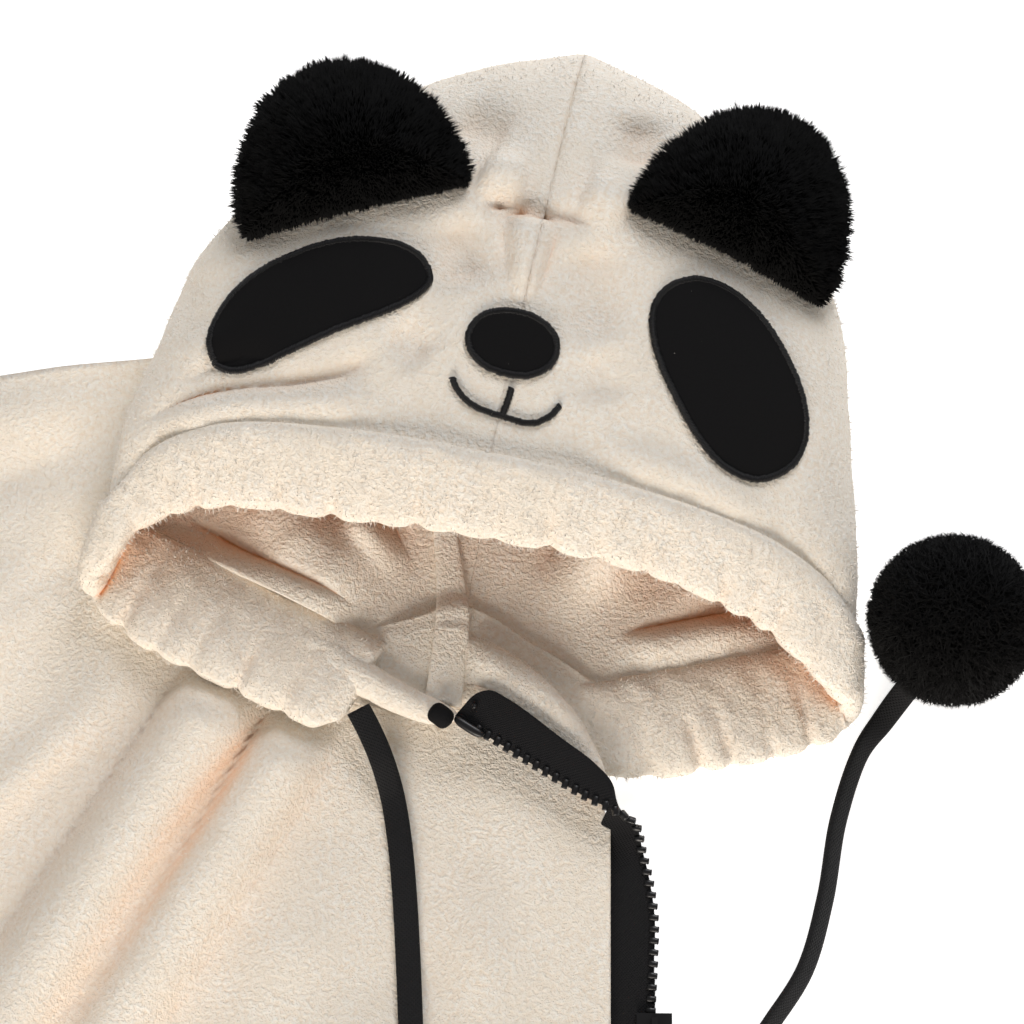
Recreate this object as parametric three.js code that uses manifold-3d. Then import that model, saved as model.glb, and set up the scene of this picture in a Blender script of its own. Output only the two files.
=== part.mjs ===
// A child's hooded cape in fleece with a panda face, laid face up.
// Millimetres, +Z up, +X to the wearer's left, +Y towards the crown of the hood.
// The hood lies on its back with its opening towards -Y. The cape is folded in half at
// centre back, the wearer's right half on top, and closed by the zip below the slider.
import * as THREE from 'three';
import Module from 'manifold-3d';
import { mergeVertices } from 'three/addons/utils/BufferGeometryUtils.js';

const wasm = await Module();
wasm.setup();

// ---- driving dimensions ----
const FLEECE = 2.2;            // fleece with its nap
const HOOD_WALL = 2.6;         // outer fleece and its turned seam allowances
const SEAM_GAP = 0.3;          // between pieces that touch
const CAPE_LENGTH = 520;       // neck seam to hem
const NECK_RADIUS = 42;        // neck seam, laid flat
const NECK = { x: 10, y: -50 };
const HEM_RADIUS = NECK_RADIUS + CAPE_LENGTH;
const HEM_START = 186.8;       // direction of the centre-back fold at the hem, degrees
const HEM_SWEEP = 99;          // to the front edge
const FRONT_LIFT_UNDER = 2.6;  // the under half's front edge lies on the left draw cord
const FRONT_LIFT_OVER = 7.5;   // the upper half's front edge lies on both zip tapes
const CASING_THICK = 6.5;      // folded hem with the cord inside
const EAR_THICK = 16;
const APPLIQUE = 1.4;          // eye patches and nose
const TAPE_THICK = 0.9;
const CORD_WIDTH = 7.5;
const CORD_THICK = 2.2;
const POMPOM_RADIUS = 26.5;

const INK = { color: '#17161a', roughness: 0.9, metalness: 0 };
const CREAM = { color: '#efe6d8', roughness: 0.95, metalness: 0 };
const TAPE_INK = { color: '#141416', roughness: 0.75, metalness: 0 };
const MOULDED = { color: '#222226', roughness: 0.35, metalness: 0 };

// Round sections of the hem and the cord have ten points; the last stands before the first.
const SECTION_POINTS = 10;
const SECTION_TURN = Math.PI * 2 * (SECTION_POINTS - 1) / SECTION_POINTS;

const group = new THREE.Group();

// ---- helpers ----
const V = (x, y, z) => new THREE.Vector3(x, y, z);
const mix = (a, b, k) => a + (b - a) * k;
const clamp01 = (k) => Math.min(1, Math.max(0, k));
const smooth = (k) => clamp01(k) ** 2 * (3 - 2 * clamp01(k));
const bluntly = (value, power) => Math.sign(value) * Math.abs(value) ** power;
const steps = (n) => Array.from({ length: n + 1 }, (_, i) => i / n);
const curveOf = (points) => (
  new THREE.CatmullRomCurve3(points.map((p) => V(...p)), false, 'centripetal'));

function addPiece(name, geometry, finish) {
  const mesh = new THREE.Mesh(geometry, new THREE.MeshStandardMaterial(finish));
  mesh.name = name;
  group.add(mesh);
  return mesh;
}

// A closed solid from rings of points, each ring closed on itself, with both ends capped.
function ringSolid(rings) {
  const n = rings[0].length;
  const points = rings.flat();
  const faces = [];
  for (let i = 0; i + 1 < rings.length; i++) {
    for (let j = 0; j < n; j++) {
      const a = i * n + j;
      const b = i * n + ((j + 1) % n);
      faces.push([a, b, b + n], [a, b + n, a + n]);
    }
  }
  const last = (rings.length - 1) * n;
  for (let j = 1; j + 1 < n; j++) faces.push([0, j + 1, j], [last, last + j, last + j + 1]);
  return solidOf(points, faces);
}

// A closed solid from points and faces, turned so that its faces point out.
function solidOf(points, faces) {
  const volume = faces.reduce(
    (sum, [a, b, c]) => sum + points[a].dot(points[b].clone().cross(points[c])), 0);
  const order = volume < 0 ? faces.map(([a, b, c]) => [a, c, b]) : faces;
  const geometry = new THREE.BufferGeometry().setFromPoints(points);
  geometry.setIndex(order.flat());
  return mergeVertices(geometry, 1e-4);
}

// A wall between two grids of points, one for each face of the cloth.
function wallSolid(upper, lower) {
  const rows = upper.length;
  const cols = upper[0].length;
  const points = [...upper.flat(), ...lower.flat()];
  const under = rows * cols;
  const at = (i, j) => i * cols + j;
  const faces = [];
  const quad = (a, b, c, d) => faces.push([a, b, c], [a, c, d]);
  for (let i = 0; i + 1 < rows; i++) {
    for (let j = 0; j + 1 < cols; j++) {
      quad(at(i, j), at(i + 1, j), at(i + 1, j + 1), at(i, j + 1));
      quad(under + at(i, j), under + at(i, j + 1), under + at(i + 1, j + 1), under + at(i + 1, j));
    }
  }
  const border = [];
  for (let j = 0; j + 1 < cols; j++) border.push(at(0, j));
  for (let i = 0; i + 1 < rows; i++) border.push(at(i, cols - 1));
  for (let j = cols - 1; j > 0; j--) border.push(at(rows - 1, j));
  for (let i = rows - 1; i > 0; i--) border.push(at(i, 0));
  border.forEach((a, k) => {
    const b = border[(k + 1) % border.length];
    quad(a, b, under + b, under + a);
  });
  return solidOf(points, faces);
}

// A wall of even thickness about a surface given by two values from 0 to 1.
function clothWall(surface, us, vs, thickness, trim = (p) => p) {
  const step = 1e-3;
  const side = (sign) => us.map((u) => vs.map((v) => {
    const u0 = Math.max(0, u - step);
    const v0 = Math.max(0, v - step);
    const along = surface(Math.min(1, u + step), v).sub(surface(u0, v));
    const across = surface(u, Math.min(1, v + step)).sub(surface(u, v0));
    const normal = along.cross(across).normalize();
    return trim(surface(u, v).addScaledVector(normal, sign * thickness / 2));
  }));
  return wallSolid(side(1), side(-1));
}

function positionsOnly(geometry) {
  geometry.deleteAttribute('normal');
  geometry.deleteAttribute('uv');
  return mergeVertices(geometry, 1e-4);
}

function toManifold(geometry) {
  const merged = positionsOnly(geometry.clone());
  return new wasm.Manifold(new wasm.Mesh({
    numProp: 3,
    vertProperties: new Float32Array(merged.attributes.position.array),
    triVerts: new Uint32Array(merged.index.array),
  }));
}

function fromManifold(solid) {
  const mesh = solid.getMesh();
  const geometry = new THREE.BufferGeometry();
  geometry.setAttribute('position', new THREE.BufferAttribute(mesh.vertProperties, 3));
  geometry.setIndex(new THREE.BufferAttribute(mesh.triVerts, 1));
  return geometry;
}

// ---- cape, two layers folded at centre back ----
// The inner edge of both layers, from the fold round the neck to the top of the zip.
const NECK_EDGE = curveOf([
  [-34, 70, 0], [-46, 44, 0], [-50, 14, 0], [-42, -12, 0], [-22, -26, 0], [4, -32, 0],
  [20, -38, 0], [33, -46, 0], [46, -59, 0], [57, -74, 0]]);

// Soft folds in the upper layer, as ridges along straight lines.
const FOLDS = [
  { name: 'roll', from: [-63, -47], to: [-154, -300], width: [14, 21], height: [15, 9] },
  { name: 'wedge', from: [-37, -54], to: [-98, -225], width: [12.5, 13], height: [12, 9] },
  { name: 'shoulder', from: [-96, 14], to: [-250, -110], width: [14, 30], height: [3, 8] },
  { name: 'panel', from: [4, -130], to: [10, -590], width: [30, 60], height: [2, 16] },
  { name: 'side', from: [-150, -130], to: [-330, -420], width: [24, 52], height: [3, 18] },
  { name: 'back', from: [-230, -20], to: [-520, -200], width: [24, 44], height: [3, 15] },
];
const FOLD_FADE = 26;          // a fold rises from nothing over this length

function foldHeight(x, y) {
  let total = 0;
  for (const fold of FOLDS) {
    const dx = fold.to[0] - fold.from[0];
    const dy = fold.to[1] - fold.from[1];
    const length = Math.hypot(dx, dy);
    const along = ((x - fold.from[0]) * dx + (y - fold.from[1]) * dy) / length;
    const off = ((x - fold.from[0]) * dy - (y - fold.from[1]) * dx) / length;
    const k = clamp01(along / length);
    const width = mix(fold.width[0], fold.width[1], k);
    if (Math.abs(off) >= width || along < 0) continue;
    const shape = (1 - (off / width) ** 2) ** 1.4;
    total += mix(fold.height[0], fold.height[1], k) * shape * smooth(along / FOLD_FADE);
  }
  return total;
}

function capePoint(u, v) {
  const start = NECK_EDGE.getPoint(u);
  const angle = THREE.MathUtils.degToRad(HEM_START + HEM_SWEEP * u);
  const end = V(NECK.x + HEM_RADIUS * Math.cos(angle), NECK.y + HEM_RADIUS * Math.sin(angle), 0);
  return start.lerp(end, v ** 1.35);
}

function capeLayer(us, vs, heightAt) {
  const face = (lift) => us.map((u) => vs.map((v) => {
    const p = capePoint(u, v);
    return p.setZ(heightAt(p.x, p.y) + lift);
  }));
  return wallSolid(face(FLEECE), face(0));
}

// How near a place is to the front edge, from 0 to 1, and the two layers' heights there.
const FRONT_EDGE = { x: 54, y: -66, slope: 0.2, reach: 64 };
function nearFront(x, y, reach) {
  const edgeX = FRONT_EDGE.x + FRONT_EDGE.slope * Math.max(0, FRONT_EDGE.y - y);
  return smooth((x - edgeX + reach) / (reach * 0.7));
}
const OVER_REST = FLEECE + SEAM_GAP;
const underHeight = (x, y) => FRONT_LIFT_UNDER * nearFront(x, y, 40);
function overHeight(x, y) {
  const front = nearFront(x, y, FRONT_EDGE.reach);
  return OVER_REST + (FRONT_LIFT_OVER - OVER_REST) * front + foldHeight(x, y) * (1 - front);
}

addPiece('cape_left', capeLayer(steps(24), steps(11), underHeight), CREAM);
const overLayer = capeLayer(steps(48), steps(22), overHeight);

// The turned-back top corner of the right front, from the cape over the roll to the zip.
const ROLL_LINE = curveOf([[6, -27, 0], [23, -33, 0], [38, -43, 0], [48, -54, 0], [54, -66, 0]]);
const FLAP_EDGE = curveOf([[8, -40, 0], [23, -47, 0], [37, -54, 0], [46, -61, 0], [51, -70, 0]]);
const FLAP_TOP = 16.5;
const FLAP_SECTION = [
  { inset: 0.95, rise: 0 },
  { inset: 0.6, rise: 0 },
  { inset: 0.2, rise: 0.08 },
  { inset: 0, rise: 0.5 },
  { inset: 0.15, rise: 0.88 },
  { inset: 0.45, rise: 1 },
  { inset: 1, rise: 0.86 },
];
const flapProfile = curveOf(FLAP_SECTION.map((row) => [row.inset, 0, row.rise]));
function flapSurface(u, v) {
  const section = flapProfile.getPoint(v);
  const p = ROLL_LINE.getPoint(u).lerp(FLAP_EDGE.getPoint(u), section.x);
  return p.setZ(mix(overHeight(p.x, p.y) + FLEECE / 2, FLAP_TOP, section.z));
}
const flap = clothWall(flapSurface, steps(9), steps(12), FLEECE * 0.9);
addPiece('cape_right', fromManifold(toManifold(overLayer).add(toManifold(flap))), CREAM);

// ---- hood, two panels joined along the centre seam ----
// Rows run along the fold of each panel from the cheek corner to the crown: where the
// meridian starts at the lip, where it turns under, and where it ends at the neck seam.
const SEAM_X = SEAM_GAP / 2;
const HOOD_RIGHT = [
  { name: 'corner', lip: [-106, -5, 31], edge: [-111, -13, 26], neck: [-16, -37, 10] },
  { name: 'cheek', lip: [-99, 6, 39], edge: [-112, 12, 25], neck: [-13, -34, 9] },
  { name: 'side', lip: [-84, 12, 45], edge: [-107, 40, 25], neck: [-10, -31, 8] },
  { name: 'temple', lip: [-64, 15, 49], edge: [-103, 67, 24], neck: [-8, -29, 7.4] },
  { name: 'ear outer', lip: [-47, 17, 51], edge: [-91, 91, 23], neck: [-6, -27, 7] },
  { name: 'ear inner', lip: [-30, 18, 53], edge: [-69, 121, 20], neck: [-4, -25.5, 6.9] },
  { name: 'crown side', lip: [-14, 18, 54.5], edge: [-37, 147, 17], neck: [-2, -24.5, 6.9] },
  { name: 'crown', lip: [-SEAM_X, 18, 55], edge: [-SEAM_X, 163, 14], neck: [-SEAM_X, -24, 6.9] },
];
const HOOD_LEFT = [
  { name: 'corner', lip: [112, 1, 25], edge: [117, -3, 16], neck: [42, -35, 8] },
  { name: 'cheek', lip: [103, 8, 33], edge: [114.5, 13, 17], neck: [35, -32, 8] },
  { name: 'side', lip: [87, 13, 41], edge: [109, 37, 18], neck: [27, -29.5, 7.8] },
  { name: 'temple', lip: [67, 16, 47], edge: [101.5, 66, 19], neck: [19, -27.5, 7.4] },
  { name: 'ear outer', lip: [49, 17.5, 50.5], edge: [93, 94, 19], neck: [12, -26, 7.2] },
  { name: 'ear inner', lip: [31, 18, 53], edge: [69, 125, 18], neck: [7, -25, 7] },
  { name: 'crown side', lip: [14, 18, 54.5], edge: [36, 151, 16], neck: [3, -24.3, 6.9] },
  { name: 'crown', lip: [SEAM_X, 18, 55], edge: [SEAM_X, 163, 14], neck: [SEAM_X, -24, 6.9] },
];
const TOP_SHARE = 0.45;        // share of a meridian that lies on the face side
const TOP_ROUND = 2.4;         // roundness of the face side
const UNDER_ROUND = 5;         // the underside turns flat sooner
const RIM_LIFT = 9;            // the right cheek rests on the folds of the cape
const CASING_LIFT = 3;         // the left cheek is held up by the thicker casing

function hoodPanel(rows) {
  const lips = curveOf(rows.map((row) => row.lip));
  const edges = curveOf(rows.map((row) => row.edge));
  const necks = curveOf(rows.map((row) => row.neck));
  const seamX = rows[rows.length - 1].edge[0];
  return (u, v) => {
    const onTop = v < TOP_SHARE;
    const edge = edges.getPoint(u);
    const end = onTop ? lips.getPoint(u) : necks.getPoint(u);
    const round = onTop ? TOP_ROUND : UNDER_ROUND;
    const turn = onTop ? v / TOP_SHARE : (1 - v) / (1 - TOP_SHARE);
    const angle = turn * Math.PI / 2;
    const reach = Math.sin(angle) ** (2 / round);
    const rise = Math.cos(angle) ** (2 / round);
    const x = u === 1 ? seamX : mix(end.x, edge.x, reach);
    if (onTop) return V(x, mix(end.y, edge.y, reach), mix(edge.z, end.z, rise));
    const rest = mix(restHeight(x, mix(end.y, edge.y, reach)), end.z, smooth(1 - reach));
    return V(x, mix(end.y, edge.y, reach), mix(edge.z, rest, rise));
  };
}

// Height of the hood's under layer above the floor, where it lies on the cape.
function restHeight(x, y) {
  const onCape = smooth((20 - x) / 45) * smooth((120 - y) / 40);
  const onFolds = RIM_LIFT * smooth((-12 - y) / 18) * smooth((-20 - x) / 25);
  const byCasing = CASING_LIFT * smooth((2 - y) / 10) * smooth((x - 20) / 20);
  const flat = mix(HOOD_WALL / 2 + 0.1, 2 * OVER_REST + HOOD_WALL / 2 + 0.1, onCape);
  return flat + onFolds + byCasing;
}

const hoodRight = hoodPanel(HOOD_RIGHT);
const hoodLeft = hoodPanel(HOOD_LEFT);
const hoodRows = steps(15);
const hoodCols = steps(24);
const rightOfSeam = (p) => p.setX(Math.min(p.x, -SEAM_X));
const leftOfSeam = (p) => p.setX(Math.max(p.x, SEAM_X));
addPiece('hood_right', clothWall(hoodRight, hoodRows, hoodCols, HOOD_WALL, rightOfSeam), CREAM);
addPiece('hood_left', clothWall(hoodLeft, hoodRows, hoodCols, HOOD_WALL, leftOfSeam), CREAM);

// ---- casing round the opening, a folded hem with the draw cord inside ----
// Stations run from the right end of the neck round the opening to the left end. at is a
// place on a panel's edge, and reach is how far the hem stands out from it. underAt gives
// the place on the underside at a share of the way from the neck seam to the fold.
const underAt = (share) => 1 - (1 - TOP_SHARE) * Math.asin(share ** (UNDER_ROUND / 2)) * 2 / Math.PI;
const CASING = [
  { side: hoodRight, at: [0, underAt(0.05)], reach: [-9, -27, 3] },
  { side: hoodRight, at: [0, underAt(0.35)], reach: [-8, -28, 3] },
  { side: hoodRight, at: [0, underAt(0.68)], reach: [-9, -28, 2] },
  { side: hoodRight, at: [0, underAt(0.85)], reach: [-8, -25, 0] },
  { side: hoodRight, at: [0, underAt(0.96)], reach: [-5, -22, -2] },
  { side: hoodRight, at: [0, 0.45], reach: [-2, -19, -4] },
  { side: hoodRight, at: [0, 0.2], reach: [1, -18, -6] },
  { side: hoodRight, at: [0.08, 0], reach: [2, -17, -7] },
  { side: hoodRight, at: [0.3, 0], reach: [3, -18, -9] },
  { side: hoodRight, at: [0.6, 0], reach: [3, -20, -9] },
  { side: hoodRight, at: [0.97, 0], reach: [1, -18.5, -8.5] },
  { side: hoodLeft, at: [0.6, 0], reach: [3, -17.5, -8.5] },
  { side: hoodLeft, at: [0.3, 0], reach: [-1, -19, -8] },
  { side: hoodLeft, at: [0.1, 0], reach: [-3, -19, -5] },
  { side: hoodLeft, at: [0, 0.2], reach: [-1, -18, -4] },
  { side: hoodLeft, at: [0, 0.45], reach: [3, -18, -3] },
  { side: hoodLeft, at: [0, underAt(0.96)], reach: [7, -20, -1.2] },
  { side: hoodLeft, at: [0, underAt(0.85)], reach: [11, -23, -1.6] },
  { side: hoodLeft, at: [0, underAt(0.64)], reach: [12, -25, -1.6] },
  { side: hoodLeft, at: [0, underAt(0.4)], reach: [14, -24, -2.4] },
  { side: hoodLeft, at: [0, underAt(0.18)], reach: [13, -24, -2.4] },
  { side: hoodLeft, at: [0, underAt(0.05)], reach: [9, -22, -2.4] },
];
const CASING_CUT = 2.2;      // the hem starts this far beyond the panel's edge, in mm
const CASING_STEPS = 64;
const casingSeam = curveOf(CASING.map((row) => row.side(...row.at).toArray()));
const casingReach = curveOf(CASING.map((row) => row.reach));

function casingRing(k) {
  const seam = casingSeam.getPoint(k);
  const reach = casingReach.getPoint(k);
  const width = reach.length();
  const out = reach.normalize();
  const up = out.clone().cross(casingSeam.getTangent(k)).normalize();
  const half = width / 2;
  return steps(SECTION_POINTS - 1).map((t) => {
    const angle = t * SECTION_TURN;
    const flat = bluntly(Math.cos(angle), 0.7);
    const thick = bluntly(Math.sin(angle), 0.8);
    return seam.clone()
      .addScaledVector(out, CASING_CUT + HOOD_WALL / 2 + half * (1 + flat))
      .addScaledVector(up, thick * CASING_THICK / 2);
  });
}
addPiece('hood_casing', ringSolid(steps(CASING_STEPS).map(casingRing)), CREAM);

// ---- places on the face side of the hood ----
// The point of the face above a place in plan, and the direction away from the cloth there.
function onFace(x, y) {
  const panel = x < 0 ? hoodRight : hoodLeft;
  const step = 1e-4;
  let u = clamp01(1 - Math.abs(x) / 115);
  let v = TOP_SHARE * 0.4;
  for (let round = 0; round < 40; round++) {
    const here = panel(u, v);
    const du = panel(u - step, v).sub(here).multiplyScalar(-1 / step);
    const dv = panel(u, v + step).sub(here).multiplyScalar(1 / step);
    const area = du.x * dv.y - du.y * dv.x;
    u += ((x - here.x) * dv.y - (y - here.y) * dv.x) / area * 0.7;
    v += ((y - here.y) * du.x - (x - here.x) * du.y) / area * 0.7;
    u = Math.min(0.999, Math.max(0.02, u));
    v = Math.min(TOP_SHARE * 0.995, Math.max(0.002, v));
  }
  const here = panel(u, v);
  const du = panel(u, v).sub(panel(u - step, v));
  const dv = panel(u, v + step).sub(panel(u, v));
  const normal = du.cross(dv).normalize();
  return { point: here, normal: normal.z < 0 ? normal.negate() : normal };
}

// A flat or domed piece from an outline round its middle. place gives the point of the
// lower (0) or upper (1) face at x, y and at a share of the way from middle to edge.
function padSolid(middle, outline, rings, place) {
  const n = outline.length;
  const points = [];
  for (const side of [1, 0]) {
    points.push(place(middle[0], middle[1], 0, side));
    for (const share of rings) {
      for (const [x, y] of outline) {
        points.push(place(mix(middle[0], x, share), mix(middle[1], y, share), share, side));
      }
    }
  }
  const under = 1 + rings.length * n;
  const faces = [];
  for (let j = 0; j < n; j++) {
    const next = (j + 1) % n;
    faces.push([0, 1 + j, 1 + next], [under, under + 1 + next, under + 1 + j]);
    for (let i = 0; i + 1 < rings.length; i++) {
      const a = 1 + i * n + j;
      const b = 1 + i * n + next;
      faces.push([a, a + n, b + n], [a, b + n, b]);
      faces.push([under + a, under + b + n, under + a + n], [under + a, under + b, under + b + n]);
    }
    const edge = 1 + (rings.length - 1) * n;
    faces.push([edge + j, under + edge + j, under + edge + next]);
    faces.push([edge + j, under + edge + next, edge + next]);
  }
  return solidOf(points, faces);
}

// A bean shape: half length and half width, bent towards one side, fuller at one end. round
// is 1 for an oval and less for blunter ends.
function beanOutline({ middle, angle, length, width, bend, fuller, round }, count) {
  const turn = THREE.MathUtils.degToRad(angle);
  return steps(count - 1).map((k) => {
    const t = k * (count - 1) / count * Math.PI * 2;
    const along = length * bluntly(Math.cos(t), round);
    const side = width * bluntly(Math.sin(t), round) * (1 + fuller * Math.cos(t));
    const across = side + bend * (0.5 - (along / length) ** 2);
    return [
      middle[0] + along * Math.cos(turn) - across * Math.sin(turn),
      middle[1] + along * Math.sin(turn) + across * Math.cos(turn)];
  });
}

const APPLIQUES = [
  {
    name: 'eye_patch_right', middle: [-61.4, 56.6], angle: 34,
    length: 34.8, width: 13.8, bend: 2.5, fuller: -0.04, round: 0.66,
  },
  {
    name: 'eye_patch_left', middle: [64.4, 59.4], angle: 128.5,
    length: 32.6, width: 18.6, bend: -1, fuller: -0.03, round: 0.82,
  },
  {
    name: 'nose', middle: [-0.6, 54.5], angle: -3,
    length: 13.8, width: 10.3, bend: 0, fuller: 0, round: 0.94,
  },
];
for (const shape of APPLIQUES) {
  const place = (x, y, share, side) => {
    const { point, normal } = onFace(x, y);
    return point.addScaledVector(normal, HOOD_WALL / 2 + SEAM_GAP + side * APPLIQUE);
  };
  addPiece(shape.name, padSolid(shape.middle, beanOutline(shape, 28), [0.35, 0.7, 1], place), INK);
}

// ---- ears, stuffed half ovals sewn down along a straight base ----
const EARS = [
  { name: 'ear_right', base: [[-86.5, 73], [-25, 101]], height: 54 },
  { name: 'ear_left', base: [[26, 104], [87, 90]], height: 54 },
];
const EAR_DROOP = 0.28;        // fall for each mm away from the base
const EAR_EDGE = 5;            // thickness at the rim
const EAR_SEAT = 1.2;          // clearance at the base, where the hood curves under it

function earSolid({ base, height }) {
  const [[ax, ay], [bx, by]] = base;
  const halfBase = Math.hypot(bx - ax, by - ay) / 2 + 2;
  const mid = [(ax + bx) / 2, (ay + by) / 2];
  const along = [(bx - ax) / (2 * halfBase - 4), (by - ay) / (2 * halfBase - 4)];
  const away = [-along[1], along[0]];
  const toPlan = (p, q) => [mid[0] + along[0] * p + away[0] * q, mid[1] + along[1] * p + away[1] * q];
  const heights = [onFace(ax, ay).point.z, onFace(mid[0], mid[1]).point.z, onFace(bx, by).point.z];
  const arc = steps(22).map((k) => {
    const t = k * Math.PI;
    return toPlan(halfBase * Math.cos(t), height * Math.sin(t) ** 0.92);
  });
  const foot = steps(6).slice(1, -1).map((k) => toPlan(mix(-halfBase, halfBase, k), 0));
  const place = (x, y, share, side) => {
    const p = (x - mid[0]) * along[0] + (y - mid[1]) * along[1];
    const q = (x - mid[0]) * away[0] + (y - mid[1]) * away[1];
    const k = clamp01((p / halfBase + 1) / 2);
    const ends = heights[0] * (1 - k) * (1 - 2 * k) + heights[2] * k * (2 * k - 1);
    const sewn = ends + heights[1] * 4 * k * (1 - k);
    const low = sewn + HOOD_WALL / 2 + EAR_SEAT - EAR_DROOP * q;
    return V(x, y, low + side * mix(EAR_THICK, EAR_EDGE, share ** 2.4));
  };
  return padSolid(toPlan(0, height * 0.42), [...arc, ...foot], [0.3, 0.6, 0.85, 1], place);
}
for (const ear of EARS) addPiece(ear.name, earSolid(ear), INK);

// ---- zip: two tapes, the slider and its pull ----
// Each row is a place along the tape: its sewn edge and the edge that carries the teeth.
const TAPE_RIGHT = [
  { name: 'hem', sewn: [160, -588, 6.75], teeth: [176, -585, 6.75] },
  { name: 'half', sewn: [112, -358, 6.75], teeth: [128, -355, 6.75] },
  { name: 'below slider', sewn: [73.5, -170, 6.75], teeth: [89.5, -167, 6.75] },
  { name: 'slider', sewn: [65.5, -133, 6.75], teeth: [81, -130, 6.75] },
  { name: 'open', sewn: [61, -112, 6.75], teeth: [78, -111, 6.75] },
  { name: 'open bend', sewn: [59, -101, 6.75], teeth: [75.8, -99, 6.8] },
  { name: 'turning', sewn: [58, -90, 6.75], teeth: [72, -88, 7] },
  { name: 'rising', sewn: [59.4, -81, 6.9], teeth: [68, -79.5, 8.3] },
  { name: 'roll', sewn: [60, -72, 11.5], teeth: [64, -73, 12] },
  { name: 'over', sewn: [55.5, -64, 19.2], teeth: [56.8, -71, 18] },
  { name: 'flap low', sewn: [49, -58.5, 19.2], teeth: [47.5, -68.5, 17.5] },
  { name: 'flap middle', sewn: [36.5, -52.5, 19.2], teeth: [34.5, -63.8, 17.2] },
  { name: 'flap high', sewn: [23, -46, 19], teeth: [19, -58, 16.8] },
  { name: 'top', sewn: [10.5, -41.5, 18.6], teeth: [4.3, -52.6, 16.2] },
];
const TAPE_LEFT = [
  { name: 'hem', sewn: [160, -588, 5.55], teeth: [176, -585, 5.55] },
  { name: 'half', sewn: [112, -358, 5.55], teeth: [128, -355, 5.55] },
  { name: 'below slider', sewn: [73.5, -170, 5.55], teeth: [89.5, -167, 5.55] },
  { name: 'slider', sewn: [65.5, -133, 5.55], teeth: [81, -130, 5.55] },
  { name: 'open', sewn: [61, -112, 5.55], teeth: [76.5, -111, 5.55] },
  { name: 'top', sewn: [53.5, -78, 5.55], teeth: [62, -79, 5.55] },
];
function ribbonSolid(rows, count, thickness) {
  const sewn = curveOf(rows.map((row) => row.sewn));
  const teeth = curveOf(rows.map((row) => row.teeth));
  return ringSolid(steps(count).map((k) => {
    const a = sewn.getPoint(k);
    const b = teeth.getPoint(k);
    const run = sewn.getTangent(k).add(teeth.getTangent(k));
    const up = b.clone().sub(a).cross(run).normalize().multiplyScalar(thickness / 2);
    return [a.clone().add(up), b.clone().add(up), b.clone().sub(up), a.clone().sub(up)];
  }));
}
addPiece('zip_tape_right', ribbonSolid(TAPE_RIGHT, 52, TAPE_THICK), TAPE_INK);
addPiece('zip_tape_left', ribbonSolid(TAPE_LEFT, 20, TAPE_THICK), TAPE_INK);

// The slider stands on the closed end of the zip, with its length along the zip.
const SLIDER = { x: 82.4, y: -133, turn: 11.6, length: 13, width: 10.6, wall: 2.2 };
const PLATE_TOP = { low: 7.6, high: 9 };
const PLATE_UNDER = { low: 3.4, high: 4.7 };
const BRIDGE = { width: 1.8, length: 10, low: 10.7, high: 11.8, leg: 1.6 };
const PULL = { length: 26, width: 8, thick: 1.1, arm: 1.5, eye: 12, pin: 1.1 };
const PULL_Z = (PLATE_TOP.high + BRIDGE.low) / 2;

const zipFrame = new THREE.Group();
zipFrame.position.set(SLIDER.x, SLIDER.y, 0);
zipFrame.rotation.z = THREE.MathUtils.degToRad(SLIDER.turn);
group.add(zipFrame);

function block([x0, x1], [y0, y1], [z0, z1]) {
  const box = new THREE.BoxGeometry(x1 - x0, y1 - y0, z1 - z0);
  return toManifold(box.translate((x0 + x1) / 2, (y0 + y1) / 2, (z0 + z1) / 2));
}
const about = (middle, size) => [middle - size / 2, middle + size / 2];
const joined = (parts) => fromManifold(parts.reduce((sum, part) => sum.add(part)));

const sliderWide = about(0, SLIDER.width);
const sliderLong = about(0, SLIDER.length);
const bridgeWide = about(0, BRIDGE.width);
const legMiddle = (BRIDGE.length - BRIDGE.leg) / 2;
const legTall = [PLATE_TOP.high - 0.1, BRIDGE.high];
const slider = joined([
  block(sliderWide, sliderLong, [PLATE_TOP.low, PLATE_TOP.high]),
  block(sliderWide, sliderLong, [PLATE_UNDER.low, PLATE_UNDER.high]),
  block([sliderWide[1] - SLIDER.wall, sliderWide[1]], sliderLong, [PLATE_UNDER.low, PLATE_TOP.high]),
  block(bridgeWide, about(0, BRIDGE.length), [BRIDGE.low, BRIDGE.high]),
  block(bridgeWide, about(-legMiddle, BRIDGE.leg), legTall),
  block(bridgeWide, about(legMiddle, BRIDGE.leg), legTall),
]);
const pullWide = about(0, PULL.width);
const pullTall = about(PULL_Z, PULL.thick);
const pull = joined([
  block(pullWide, about(0, PULL.pin), pullTall),
  block([pullWide[0], pullWide[0] + PULL.arm], [-PULL.eye, 0], pullTall),
  block([pullWide[1] - PULL.arm, pullWide[1]], [-PULL.eye, 0], pullTall),
  block(pullWide, [-PULL.length, -PULL.eye], pullTall),
]);
for (const [name, geometry] of [['zip_slider', slider], ['zip_pull', pull]]) {
  zipFrame.add(addPiece(name, geometry, MOULDED));
}

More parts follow.
